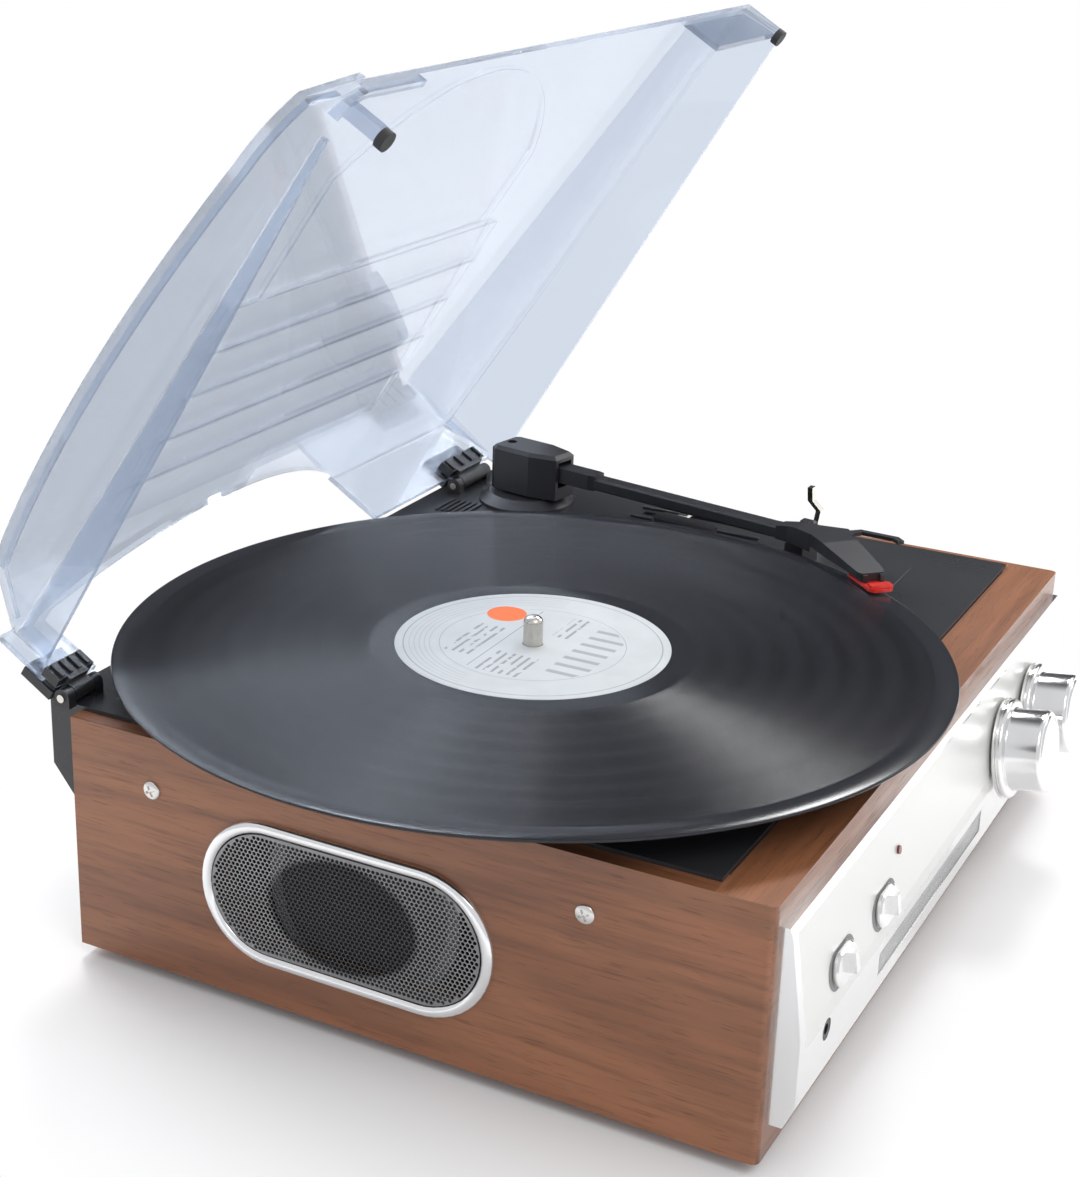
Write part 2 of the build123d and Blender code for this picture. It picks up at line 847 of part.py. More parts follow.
def head_root():
    """Widening end of the tube, from the rest to the headshell, in the arm's frame."""
    start = rest_distance - rest_length - 1
    half = arm_tube_width / 2
    outline = [
        (start, -half), (rest_distance - 4, -half - 0.4), (bend_distance, -8.0), (bend_distance + 12, -9.0),
        (bend_distance + 14, 4.0), (bend_distance + 9, 8.2), (rest_distance + 6, half + 0.6), (start, half),
    ]
    root = plate(outline, arm_bottom, head_top)
    ramp = [(start - 1, arm_bottom + arm_height - 0.6), (rest_distance, head_top), (rest_distance, 20), (start - 1, 20)]
    side = make_face(Polyline(*[(x, -20, z) for x, z in ramp], close=True))
    root -= extrude(side, 40, dir=(0, 1, 0))
    root -= block(bend_distance + 1, bend_distance + 20, -20, 20, 0, head_skirt_bottom)
    return root


def headshell():
    w = head_half_width
    end = head_length
    outline = [(0, -w), (20, -w), (end - 2, -w + 1.8), (end, -w + 2.8), (end, w - 2.8), (end - 2, w - 1.8), (20, w), (6, w + 0.6)]
    shell = plate(outline, head_skirt_bottom, head_top)
    inner = w - 2.6
    shell -= block(18, end + 1, -inner, inner, 0, head_skirt_bottom + 0.9)
    face = [(17, head_top), (end, head_front_top), (end, 20), (17, 20)]
    side = make_face(Polyline(*[(x, -20, z) for x, z in face], close=True))
    shell -= extrude(side, 40, dir=(0, 1, 0))
    return shell


def finger_lift():
    far = bend_distance + 32
    path = [
        (bend_distance + 8.5, 8.4), (bend_distance + 12, 13.5), (bend_distance + 28, 15.6), (far, 13.0),
        (far - 1.6, 10.8), (bend_distance + 27, 12.8), (bend_distance + 14, 10.8), (bend_distance + 11.5, 6.2),
    ]
    return arm_frame() * plate(path, head_top - 2.4, head_top - 0.9) - tonearm()


def cartridge():
    w = head_half_width - 2.8
    z0 = stylus_bottom + 1.3
    z1 = head_skirt_bottom + 0.85
    body = block(19, head_length + 0.2, -w, w, z0, z1)
    for side in (-1, 1):
        middle = side * (w - 1.2)
        body += block(head_length + 0.1, head_length + 1.6, middle - 0.9, middle + 0.9, z0, head_front_top - 0.4)
    return head_frame() * body


def stylus():
    w = stylus_half_width
    x1 = head_length + stylus_reach
    x0 = x1 - stylus_length
    z1 = stylus_bottom + 1.2
    rail = stylus_bottom + 2.5
    holder = plate(
        [(x0, -w), (x1 - 2, -w), (x1, -w + 1.5), (x1, w - 1.5), (x1 - 2, w), (x0, w)],
        stylus_bottom, z1,
    )
    holder += block(x1 - 4.5, x1 - 1.0, -w + 0.6, w - 0.6, z1, rail)
    holder -= block(x1 - 9, x1 - 5, -1.4, 1.4, stylus_bottom - 1, z1 - 0.4)
    drop = z1 - 0.3 - stylus_tip
    lever = Pos(x1 - 7, 0, stylus_tip + drop / 2) * Cone(0.2, 0.55, drop)
    return head_frame() * (holder + lever)


def arm_rest():
    half = arm_tube_width / 2
    x0 = rest_distance - rest_length / 2
    x1 = rest_distance + rest_length / 2
    gap = 1.2
    foot = block(x0, x1, -half - 0.9, half + gap + rest_wall, deck_top, arm_bottom - 0.3)
    wall = block(x0 + 1, x1 - 1, half + gap, half + gap + rest_wall, arm_bottom - 1, rest_wall_top)
    wall = chamfer(wall.edges().group_by(Axis.Z)[-1], 0.8)
    step = block(x0 - 4, x0 + 1.2, half + gap, half + gap + rest_wall + 1, deck_top, rest_wall_top - 4)
    return arm_frame() * (foot + wall + step)


def cue_lever():
    y = cue_lever_y
    z = deck_top
    t = cue_lever_stroke / 2
    pivot = z - cue_pivot_drop
    line = [(y, pivot), (y - 0.5, z + 3), (y - 2.0, z + 13), (y + 2.0, z + 17), (y + 2.5, z + 22.8)]
    side = [(a - t, b) for a, b in line] + [(a + t, b) for a, b in reversed(line)]
    x0 = cue_lever_x - cue_lever_width / 2
    x1 = cue_lever_x + cue_lever_width / 2
    lever = bar_along_x(side, x0, x1) + rod(x0, x1, y, pivot, 3)
    return lever - rod(x0 - 1, x1 + 1, y, pivot, 1.2 + running_clearance)


def cue_bracket():
    y = cue_lever_y
    pivot = deck_top - cue_pivot_drop
    x0 = cue_lever_x - cue_lever_width / 2 - 2.6
    x1 = cue_lever_x + cue_lever_width / 2 + 2.6
    bracket = rod(x0, x1, y, pivot, 1.2)
    for x in (x0, x1 - 2):
        bracket += block(x, x + 2, y - 4, y + 4, pivot - 4, deck_top - deck_thickness)
    return bracket


def lift_post_places():
    frame = arm_frame()
    spots = []
    for u in (lift_bar_distance - 10, lift_bar_distance + 10):
        spot = frame.from_local_coords(Vector(u, 0, 0))
        spots.append((spot.X, spot.Y))
    return spots


def lift_bar():
    z1 = arm_bottom - lift_travel - 0.4
    x0 = lift_bar_distance - lift_bar_length / 2
    x1 = lift_bar_distance + lift_bar_length / 2
    bar = block(x0, x1, -5, 5, z1 - 2.4, z1)
    bar = chamfer(bar.edges().filter_by(Axis.Z), 2.5)
    bar = arm_frame() * bar
    for x, y in lift_post_places():
        bar += disc(x, y, deck_top - deck_thickness - 8, z1 - 2, 2.5)
    return bar


def speed_selector():
    x = selector_x
    y = selector_y
    z = deck_top
    knob_part = block(x - 4, x + 4, y - 3, y + 3, z + 0.3, z + 3.2)
    knob_part = chamfer(knob_part.edges().group_by(Axis.Z)[-1], 0.8)
    stem = block(x - 2, x + 2, y - 2, y + 2, z - deck_thickness - 2, z + 0.3)
    shoe = block(x - 4.5, x + 4.5, y - 4, y + 4, z - deck_thickness - 3.3, z - deck_thickness - 0.3)
    return knob_part + stem + shoe


# Lid, built closed and then turned to its open stop
def opened(shape):
    return shape.rotate(Axis((0, hinge_y, hinge_z), (1, 0, 0)), -lid_open_angle)


def sloped_slab(thickness, lift=0.0):
    """Everything within the lid panel's thickness, on its slope."""
    tilt = degrees(atan(lid_slope))
    slab = Box(500, 500, thickness, align=(Align.CENTER, Align.CENTER, Align.MIN))
    return Pos(0, 0, lid_under_at_spindle + lift) * Rot(tilt, 0, 0) * slab


def lid_plan():
    """Plan of the lid's top: straight right and front, a wing over the record, an arched rear."""
    bend_right = lid_right_rim_x - lid_wall_lean
    back_y = hinge_y + 1.0
    wing_back = (-144.0, 72.0)
    wing_front = (-139.0, -92.0)
    nose = (-126.0, -116.0)
    edges = [
        Line((bend_right, lid_front_y), (bend_right, back_y)),
        Line((bend_right, back_y), (112.0, back_y)),
        ThreePointArc((112.0, back_y), (-14.0, 97.0), (-86.0, 121.0)),
        Line((-86.0, 121.0), (-86.0, back_y)),
        Line((-86.0, back_y), (lid_left_bend_x, back_y)),
        Line((lid_left_bend_x, back_y), wing_back),
        ThreePointArc(wing_back, (wing_reach_x, -18.0), wing_front),
        ThreePointArc(wing_front, (-134.0, -106.0), nose),
        Line(nose, (-96.0, lid_front_y - 3.0)),
        Line((-96.0, lid_front_y - 3.0), (-96.0, lid_front_y)),
        Line((-96.0, lid_front_y), (bend_right, lid_front_y)),
    ]
    return make_face(Wire(edges))


def lid():
    plan = lid_plan()
    column = Pos(0, 0, -40) * extrude(plan, 90)
    panel = column & sloped_slab(lid_wall)
    inside = column - Pos(0, 0, -41) * extrude(offset(plan, -1.6), 92)
    wing_zone = block(-200, lid_left_bend_x - 4, lid_front_y, 110, -50, 50)
    panel += inside & wing_zone & sloped_slab(wing_lip, -wing_lip)
    under = Pos(0, 0, 0) * sloped_slab(60, lid_wall)
    walls = right_wall() + left_skirt() + rear_walls() + front_walls()
    shell = panel + (walls - under)
    for slat in slats():
        shell += slat
    return opened(shell)


def right_wall():
    bend = lid_right_rim_x - lid_wall_lean
    w = lid_wall
    back_y = hinge_y + 1.0
    z1 = 40.0
    lean = lid_wall_lean / (panel_height(0) - lid_rim_z)
    reach = lean * (z1 - lid_rim_z)
    points = [
        (lid_right_rim_x - w, lid_rim_z), (lid_right_rim_x, lid_rim_z),
        (lid_right_rim_x - reach, z1), (lid_right_rim_x - w - reach, z1),
    ]
    face = make_face(Polyline(*[(x, lid_front_y, z) for x, z in points], close=True))
    return extrude(face, back_y - lid_front_y, dir=(0, 1, 0))


def left_skirt():
    x = lid_left_bend_x
    return block(x - lid_wall, x, -98.0, hinge_y + 1.0, lid_left_rim_z, 40.0)


def rear_walls():
    y1 = hinge_y + 1.0
    y0 = y1 - lid_wall
    z0 = hinge_z + 4.2
    left_tab = block(lid_left_bend_x - 8, -86.0, y0, y1, z0, 40.0)
    right_tab = plate(
        [(108.0, y0), (lid_right_rim_x - 2, y0), (lid_right_rim_x - 2, y1), (108.0, y1)], z0, 40.0
    )
    return left_tab + right_tab


def front_walls():
    y0 = lid_front_y
    y1 = y0 + lid_wall
    right_tab = block(146.0, lid_right_rim_x, y0, y1, lid_rim_z, 40.0)
    brow = block(-96.0, -62.0, y0, y1, 3.2, 40.0)
    corner = plate(
        [(-104.0, y0 + 3), (-96.0, y0), (-96.0, y0 + 2.4), (-102.4, y0 + 4.6), (-106.0, y0 + 9),
         (-108.2, y0 + 8)],
        3.2, 40.0,
    )
    post = plate(
        [(-104.0, y0 + 3), (-101.5, y0 + 2.1), (-104.6, y0 + 7.5), (-106.8, y0 + 6.4)],
        lid_rim_z, 3.3,
    )
    return right_tab + brow + corner + post


def slats():
    """Five shallow steps and the arch in front of them, raised on the lid's top."""
    tilt = degrees(atan(lid_slope))
    front_y = -24.0
    bars = []
    for n in range(slat_count):
        y = front_y + slat_pitch * n
        z = panel_height(y) + lid_wall
        wedge = [(0, -1), (slat_pitch - 1.5, -1), (slat_pitch - 1.5, 0), (0.6, slat_height), (0, slat_height)]
        bar = bar_along_x(wedge, -slat_length / 2, slat_length / 2)
        bars.append(Pos(4.0 + 2.0 * n, y, z) * Rot(tilt, 0, 0) * bar)
    half = slat_length / 2 - 12
    arch = [
        Line((4 - half, front_y - 1), (4 + half, front_y - 1)),
        Line((4 + half, front_y - 1), (4 + half, -60.0)),
        ThreePointArc((4 + half, -60.0), (2.0, -109.0), (4 - half, -75.0)),
        Line((4 - half, -75.0), (4 - half, front_y - 1)),
    ]
    tall = Pos(0, 0, -40) * extrude(make_face(Wire(arch)), 90)
    bars.append(tall & sloped_slab(1 + arch_height, lid_wall - 1))
    return bars


def lid_bumpers():
    pads = []
    for x, y in ((-104.1, lid_front_y + 4.9), (lid_right_rim_x - 8, lid_front_y + 1.2)):
        pad = disc(x, y, deck_top + fit, lid_rim_z, bumper_radius)
        pads.append(opened(pad))
    return pads


def hinge_clip(span):
    """Clip that grips the lid's rear wall and turns on the hinge pin."""
    x0, x1 = span
    k0 = x0 + lug_thickness + 0.3
    k1 = x1 - lug_thickness - 0.3
    wall_y1 = hinge_y + 1.0
    wall_y0 = wall_y1 - lid_wall
    z = hinge_z
    clip = rod(k0, k1, hinge_y, z, knuckle_radius)
    clip += block(k0, k1, hinge_y - 3.2, hinge_y + 3.2, z, z + 4.0)
    clip += block(x0, x1, wall_y1 + 0.1, wall_y1 + 3.8, z + 4.0, z + 18.0)
    clip += block(x0, x1, wall_y0 - 4.0, wall_y0 - 0.1, z + 4.0, z + 11.0)
    clip += block(k0, k1, wall_y0 - 4.0, wall_y1 + 3.8, z + 2.4, z + 4.1)
    count = 4
    for n in range(count):
        x = x0 + 2.5 + (x1 - x0 - 5) * n / (count - 1)
        clip += block(x - 0.8, x + 0.8, wall_y0 - 5.0, wall_y0 - 3.9, z + 4.5, z + 10.5)
    clip -= rod(x0 - 1, x1 + 1, hinge_y, z, hinge_pin_radius + running_clearance)
    return opened(clip)


def hinge_bracket(span):
    x0, x1 = span
    parts_of_it = []
    for a in (x0, x1 - lug_thickness):
        b = a + lug_thickness
        lug = block(a, b, hinge_y - 3.2, hinge_y + 3.2, deck_top, hinge_z)
        lug += rod(a, b, hinge_y, hinge_z, knuckle_radius - 0.1)
        lug -= rod(a - 1, b + 1, hinge_y, hinge_z, hinge_pin_radius)
        parts_of_it.append(lug)
    return parts_of_it


def hinge_pin(span):
    return rod(span[0] - 0.8, span[1] + 0.8, hinge_y, hinge_z, hinge_pin_radius)


def mirrored(shape):
    return mirror(shape, Plane.YZ.offset(middle_x))


# Nodes
left_panel = side_panel()
parts["side_panel_left"] = left_panel
parts["side_panel_right"] = mirrored(left_panel)
screws = [side_screw(y) for y in screw_places()]
parts["side_screws"] = screws + [mirrored(screw) for screw in screws]
parts["front_block"] = front_block()
parts["base_panel"] = base_panel()
parts["rear_panel"] = rear_panel()
parts["line_out_sockets"] = [rear_socket(x) for x in rear_socket_places()]
parts["cord_gland"] = cord_gland()
parts["feet"] = feet()
parts["deck_plate"] = deck_plate()
parts["record_disc"] = record_disc()
parts["record_labels"] = record_labels()
parts["mat"] = mat()
parts["platter"] = platter()
parts["spindle"] = spindle()
parts["bearing_bush"] = bearing_bush()
parts["motor"] = motor()
parts["motor_shaft"] = motor_shaft()
parts["motor_pulley"] = motor_pulley()
parts["drive_belt"] = belt()
parts["fascia"] = fascia()
parts["volume_knob"] = knob(volume_knob_x)
parts["tuning_knob"] = knob(tuning_knob_x)
parts["volume_shaft"] = knob_shaft(volume_knob_x)
parts["tuning_shaft"] = knob_shaft(tuning_knob_x)
parts["volume_control"] = control_body(volume_knob_x) - shaft_bore(volume_knob_x)
parts["tuning_gang"] = tuning_gang() - shaft_bore(tuning_knob_x)
parts["function_switch_button"] = switch_button(function_switch_x)
parts["band_switch_button"] = switch_button(band_switch_x)
parts["switch_bodies"] = [switch_body(x) for x in (function_switch_x, band_switch_x)]
parts["dial_window"] = dial_window()
parts["dial_scale"] = dial_scale()
parts["dial_pointer"] = dial_pointer()
parts["headphone_socket"] = headphone_socket()
parts["pilot_lamp"] = pilot_lamp()
parts["control_board"] = control_board()
parts["main_board"] = main_board()
parts["transformer"] = transformer()
for name, maker in (
    ("speaker_bezels", speaker_bezel),
    ("speaker_grilles", speaker_grille),
    ("speaker_baskets", speaker_basket),
    ("speaker_cones", speaker_cone),
):
    shape = maker()
    parts[name] = [shape, mirrored(shape)]
parts["arm_base"] = arm_base()
parts["arm_turret"] = arm_turret()
parts["arm_pivot_pin"] = arm_pivot_pin()
parts["tonearm"] = tonearm()
parts["finger_lift"] = finger_lift()
parts["cartridge"] = cartridge()
parts["stylus"] = stylus()
parts["arm_rest"] = arm_rest()
parts["cue_lever"] = cue_lever()
parts["cue_bracket"] = cue_bracket()
parts["lift_bar"] = lift_bar()
parts["speed_selector"] = speed_selector()
parts["lid"] = lid()
parts["lid_bumpers"] = lid_bumpers()
parts["hinge_clips"] = [hinge_clip(left_clip), hinge_clip(right_clip)]
parts["hinge_brackets"] = hinge_bracket(left_clip) + hinge_bracket(right_clip)
parts["hinge_pins"] = [hinge_pin(left_clip), hinge_pin(right_clip)]

os.makedirs("parts", exist_ok=True)
for name, shape in parts.items():
    if isinstance(shape, list):
        shape = Compound(children=shape)
    export_step(shape, "parts/" + name + ".step")
    print(name, round(shape.volume, 1))
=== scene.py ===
import bpy
import math
from mathutils import Matrix, Vector


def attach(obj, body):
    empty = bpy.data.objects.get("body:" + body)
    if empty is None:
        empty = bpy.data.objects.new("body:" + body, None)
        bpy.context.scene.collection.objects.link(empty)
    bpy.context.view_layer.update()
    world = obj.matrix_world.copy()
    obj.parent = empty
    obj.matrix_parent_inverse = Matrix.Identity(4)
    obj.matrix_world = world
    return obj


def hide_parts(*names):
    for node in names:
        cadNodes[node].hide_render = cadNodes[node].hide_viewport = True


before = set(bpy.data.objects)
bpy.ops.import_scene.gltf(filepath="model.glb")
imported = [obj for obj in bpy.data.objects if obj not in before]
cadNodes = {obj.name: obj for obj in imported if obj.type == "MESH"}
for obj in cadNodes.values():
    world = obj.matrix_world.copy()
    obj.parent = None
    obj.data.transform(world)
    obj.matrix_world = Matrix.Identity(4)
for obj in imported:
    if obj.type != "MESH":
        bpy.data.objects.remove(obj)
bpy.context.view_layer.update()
mm = 0.001

# Places that several pieces share, in millimetres
cabinet = {"leftFace": -110.7, "rightFace": 219.3, "top": -14.8, "speakerY": 11.5, "speakerZ": -61.2}
# The panel's slanted face comes forward by lean over its height, from start below the cabinet's top
panel = {"frontY": -136.7, "start": 10.8, "height": 34.4, "lean": 5.0, "thick": 3.6}
slantAngle = math.atan(panel["lean"] / panel["height"])
print("frame loaded")


# Shader maths


class Sock:
    def __init__(self, shader, out):
        self.shader = shader
        self.out = out

    def op(self, name, *others):
        return self.shader.node("ShaderNodeMath", 0, dict(enumerate((self,) + others)), operation=name)

    def __add__(self, other):
        return self.op("ADD", other)

    def __sub__(self, other):
        return self.op("SUBTRACT", other)

    def __mul__(self, other):
        return self.op("MULTIPLY", other)

    def __truediv__(self, other):
        return self.op("DIVIDE", other)

    def __neg__(self):
        return self.op("MULTIPLY", -1.0)

    def __rsub__(self, other):
        return -self + other

    def __rtruediv__(self, other):
        return self.op("POWER", -1.0) * other

    __radd__ = __add__
    __rmul__ = __mul__

    def above(self, low, soft):
        # 0 below low, 1 above low + soft, with a straight ramp between
        return ((self - low) / soft).op("MINIMUM", 1.0).op("MAXIMUM", 0.0)

    def between(self, low, high, soft):
        # 1 from low to high, 0 outside
        return self.above(low, soft) * (-self).above(-high, soft)


class Shader:
    def __init__(self, name):
        self.material = bpy.data.materials.new(name)
        self.material.use_nodes = True
        self.tree = self.material.node_tree
        self.tree.nodes.clear()
        self.output = self.tree.nodes.new("ShaderNodeOutputMaterial")
        self.bsdf = self.tree.nodes.new("ShaderNodeBsdfPrincipled")
        self.tree.links.new(self.bsdf.outputs[0], self.output.inputs[0])
        coords = self.tree.nodes.new("ShaderNodeTexCoord")
        self.coords = Sock(self, coords.outputs["Object"])
        self.facing = Sock(self, coords.outputs["Normal"])

    def put(self, socket, value):
        if isinstance(value, Sock):
            self.tree.links.new(value.out, socket)
        else:
            socket.default_value = value

    def node(self, kind, outName, inputs, **settings):
        # Settings first, then each input's value or link; the named output comes back
        made = self.tree.nodes.new(kind)
        for key, value in settings.items():
            setattr(made, key, value)
        for key, value in inputs.items():
            self.put(made.inputs[key], value)
        return Sock(self, made.outputs[outName])

    def axes(self, source=None):
        split = self.node("ShaderNodeSeparateXYZ", 0, {0: source or self.coords})
        return [Sock(self, output) for output in split.out.node.outputs]

    def stretched(self, scale):
        return self.node("ShaderNodeMapping", "Vector", {"Vector": self.coords, "Scale": scale})

    def vector(self, operation, *parts):
        return self.node("ShaderNodeVectorMath", 0, dict(enumerate(parts)), operation=operation)

    def combined(self, x, y, z):
        return self.node("ShaderNodeCombineXYZ", 0, {"X": x, "Y": y, "Z": z})

    def blended(self, factor, kind, color):
        # Lays a second surface shader over the main one
        main = Sock(self, self.bsdf.outputs[0])
        other = self.node(kind, 0, {"Color": color})
        self.put(self.output.inputs[0], self.node("ShaderNodeMixShader", 0, {0: factor, 1: main, 2: other}))

    def noise(self, scale, detail=3.0, rough=0.5, distort=0.0, vector=None):
        inputs = {
            "Vector": vector or self.coords, "Scale": scale, "Detail": detail, "Roughness": rough,
            "Distortion": distort,
        }
        return self.node("ShaderNodeTexNoise", 0, inputs)

    def mix(self, amount, first, second):
        return self.node("ShaderNodeMix", 2, {0: amount, 6: first, 7: second}, data_type="RGBA")

    def bump(self, height, strength, distance):
        inputs = {"Height": height, "Strength": strength, "Distance": distance}
        return self.node("ShaderNodeBump", 0, inputs)

    def set(self, **values):
        names = {
            "color": "Base Color", "rough": "Roughness", "metal": "Metallic", "normal": "Normal",
            "coat": "Coat Weight", "coatRough": "Coat Roughness", "ior": "IOR",
            "clear": "Transmission Weight", "specular": "Specular IOR Level",
        }
        for key, value in values.items():
            self.put(self.bsdf.inputs[names[key]], value)
        return self.material


def rgb(red, green, blue):
    return (red, green, blue, 1.0)


# Materials


def woodMaterial(name, along, endAlong=None):
    # Varnished walnut with its grain along one axis, and along another on the ends
    look = {
        "light": rgb(0.315, 0.128, 0.057), "dark": rgb(0.120, 0.043, 0.019), "red": rgb(0.36, 0.133, 0.056),
        "pore": rgb(0.060, 0.022, 0.011), "fibreSqueeze": 0.045, "bandSqueeze": 0.12,
    }
    shader = Shader(name)

    def grainCoords(squeeze):
        scales = []
        for axis in (along, endAlong):
            if axis is not None:
                stretch = [1.0, 1.0, 1.0]
                stretch[axis] = squeeze
                scales.append(shader.stretched(tuple(stretch)))
        if len(scales) == 1:
            return scales[0]
        turned = shader.axes(shader.facing)[along].op("ABSOLUTE").above(0.7, 0.02)
        return shader.node("ShaderNodeMix", 1, {0: turned, 4: scales[0], 5: scales[1]}, data_type="VECTOR")

    fibreCoords = grainCoords(look["fibreSqueeze"])
    broadCoords = grainCoords(look["bandSqueeze"])
    bands = shader.noise(30.0, 4.0, 0.55, 0.7, broadCoords)
    fibres = shader.noise(520.0, 5.0, 0.62, 0.3, fibreCoords)
    streaks = shader.noise(130.0, 3.0, 0.5, 0.8, fibreCoords)
    pores = shader.noise(1700.0, 2.0, 0.5, 0.0, fibreCoords).above(0.60, 0.08)
    tone = shader.mix(bands.above(0.30, 0.36), look["dark"], look["light"])
    tone = shader.mix(streaks.above(0.42, 0.3) * 0.55, tone, look["red"])
    tone = shader.mix(fibres.above(0.50, 0.22) * 0.58, tone, look["dark"])
    tone = shader.mix(pores * 0.4, tone, look["pore"])
    height = fibres * 0.6 - pores * 0.8
    wear = shader.noise(9.0, 2.0)
    return shader.set(
        color=tone, rough=wear * 0.12 + 0.28 + pores * 0.15, coat=0.2, coatRough=0.22,
        normal=shader.bump(height, 0.25, 0.0002),
    )


def plasticMaterial(name, color, rough, grain, depth, coat=0.0):
    # Moulded plastic with a fine grain, slight clouds and handling marks
    shader = Shader(name)
    fine = shader.noise(grain, 2.0, 0.6)
    cloud = shader.noise(14.0, 3.0, 0.6)
    marks = shader.noise(60.0, 4.0, 0.7, 1.2).above(0.62, 0.12)
    paler = tuple(min(1.0, value * 1.35 + 0.006) for value in color[:3]) + (1.0,)
    tone = shader.mix(cloud.above(0.35, 0.5) * 0.5, color, paler)
    return shader.set(
        color=tone, rough=cloud * 0.12 + (rough - 0.05) + marks * 0.05, coat=coat,
        normal=shader.bump(fine, 0.35, depth),
    )


def metalMaterial(name, color, rough):
    # Metal with slight clouds and handling marks
    shader = Shader(name)
    cloud = shader.noise(22.0, 3.0, 0.6)
    marks = shader.noise(150.0, 4.0, 0.7, 0.8).above(0.6, 0.15)
    fine = shader.noise(1400.0, 2.0, 0.5)
    tint = tuple(value * 0.88 for value in color[:3]) + (1.0,)
    return shader.set(
        color=shader.mix(cloud.above(0.4, 0.4), color, tint), metal=1.0,
        rough=cloud * 0.05 + (rough - 0.02) + marks * 0.04,
        normal=shader.bump(fine, 0.02, 0.00003),
    )


def vinylMaterial():
    # Pressed record: fine grooves that lean the surface along the radius, smoother between the tracks, with
    # painted sheen that makes the smooth parts paler and the tracks banded along the radius
    look = {
        "grooveStart": 59.0, "grooveEnd": 142.5, "pitch": 0.13, "steep": 0.45, "smooth": 0.03,
        "gaps": (76.0, 93.5, 108.0, 125.5), "gapHalf": 0.35,
    }
    shader = Shader("vinyl")
    x, y = shader.axes()[:2]
    radius = (x * x + y * y).op("SQRT") * 1000.0
    grooved = radius.between(look["grooveStart"], look["grooveEnd"], 0.4)
    gaps = None
    for middle in look["gaps"]:
        gap = radius.between(middle - look["gapHalf"], middle + look["gapHalf"], 0.25)
        gaps = gap if gaps is None else gaps + gap
    playing = (grooved - gaps * 0.75).op("MAXIMUM", 0.0)
    wall = (radius / look["pitch"]).op("FRACT") * 2.0 - 1.0
    loudBandSheen = (radius * 0.55).op("SINE") * 0.5 + 0.5
    lean = wall * (playing * (look["steep"] - look["smooth"]) + look["smooth"])
    outward = shader.vector("NORMALIZE", shader.combined(x, y, 0.0))
    tilt = shader.vector("MULTIPLY", outward, shader.combined(lean, lean, 0.0))
    world = shader.node("ShaderNodeVectorTransform", 0, {"Vector": tilt}, vector_type="VECTOR",
                        convert_from="OBJECT", convert_to="WORLD")
    surface = shader.node("ShaderNodeNewGeometry", "Normal", {})
    dust = shader.noise(700.0, 2.0, 0.5).above(0.74, 0.05)
    smudge = shader.noise(17.0, 3.0, 0.6)
    # Painted sheen: the tracks go darker and paler in bands along the radius, and the smooth parts between
    # and around them are paler still
    dark = shader.mix(loudBandSheen * playing, rgb(0.009, 0.009, 0.011), rgb(0.014, 0.014, 0.017))
    tone = shader.mix(playing, rgb(0.022, 0.023, 0.027), dark)
    tone = shader.mix(dust * 0.2, tone, rgb(0.10, 0.10, 0.11))
    return shader.set(
        color=tone, rough=playing * 0.04 + 0.17 + smudge * 0.05, ior=1.5, specular=0.36,
        normal=shader.vector("NORMALIZE", shader.vector("ADD", surface, world)),
    )


def labelMaterial():
    # Pale paper label with plain rings, bars, dashes and an orange dot; places are (from, to) in millimetres
    look = {
        "rings": ((46.6, 47.2), (33.6, 34.0)), "inner": (8.2, 33.0), "arcs": (36.0, 45.0),
        "press": (34.6, 35.6),
        "bars": ((-22.0, 24.0), (-29.0, -15.0)), "band": ((-30.0, 30.0), (10.6, 11.1)),
        "blocks": (((-21.0, 8.0), (13.5, 27.0)), ((10.0, 30.0), (-9.0, -2.5)), ((-31.0, -12.0), (-9.5, 8.5))),
        "dot": (21.0, 21.5), "dotRadius": 7.6,
        "paper": (rgb(0.50, 0.515, 0.51), rgb(0.57, 0.58, 0.575)), "ink": rgb(0.20, 0.21, 0.22),
        "orange": rgb(0.83, 0.16, 0.035),
    }
    shader = Shader("labelPaper")
    x, y = shader.axes()[:2]
    radius = (x * x + y * y).op("SQRT") * 1000.0
    across = x * 1000.0
    up = y * 1000.0
    paper = shader.noise(1800.0, 3.0, 0.6)
    stain = shader.noise(40.0, 3.0, 0.6)

    def patch(place, soft=0.2):
        (left, right), (low, high) = place
        return up.between(low, high, soft) * across.between(left, right, 0.2)

    base = shader.mix(stain.above(0.35, 0.4), *look["paper"])
    outer, middle = [radius.between(start, end, 0.15) for start, end in look["rings"]]
    inner = radius.between(*look["inner"], 0.2)
    bars = (across * 0.9).op("SINE").above(0.35, 0.2) * patch(look["bars"]) * inner
    arcs = (radius * 3.4).op("SINE").above(0.86, 0.1)
    arcs = arcs * radius.between(*look["arcs"], 0.2) * up.above(6.0, 0.2)
    band = patch(look["band"], 0.1) * inner
    dashes = (up * 2.1).op("SINE").above(0.2, 0.3) * shader.noise(230.0, 1.0, 0.3).above(0.42, 0.06)
    first, second, third = [patch(block) for block in look["blocks"]]
    lines = dashes * inner * (first + second + third)
    ink = ((outer + middle) * 0.7 + bars * 0.6 + arcs * 0.45 + band * 0.8 + lines * 0.75).op("MINIMUM", 1.0)
    dotX = across - look["dot"][0]
    dotY = up - look["dot"][1]
    dot = (-(dotX * dotX + dotY * dotY).op("SQRT")).above(-look["dotRadius"], 0.25)
    tone = shader.mix(dot, shader.mix(ink, base, look["ink"]), look["orange"])
    relief = paper - radius.between(*look["press"], 0.5) * 3.0
    return shader.set(color=tone, rough=paper * 0.1 + 0.55, normal=shader.bump(relief, 0.3, 0.00006))


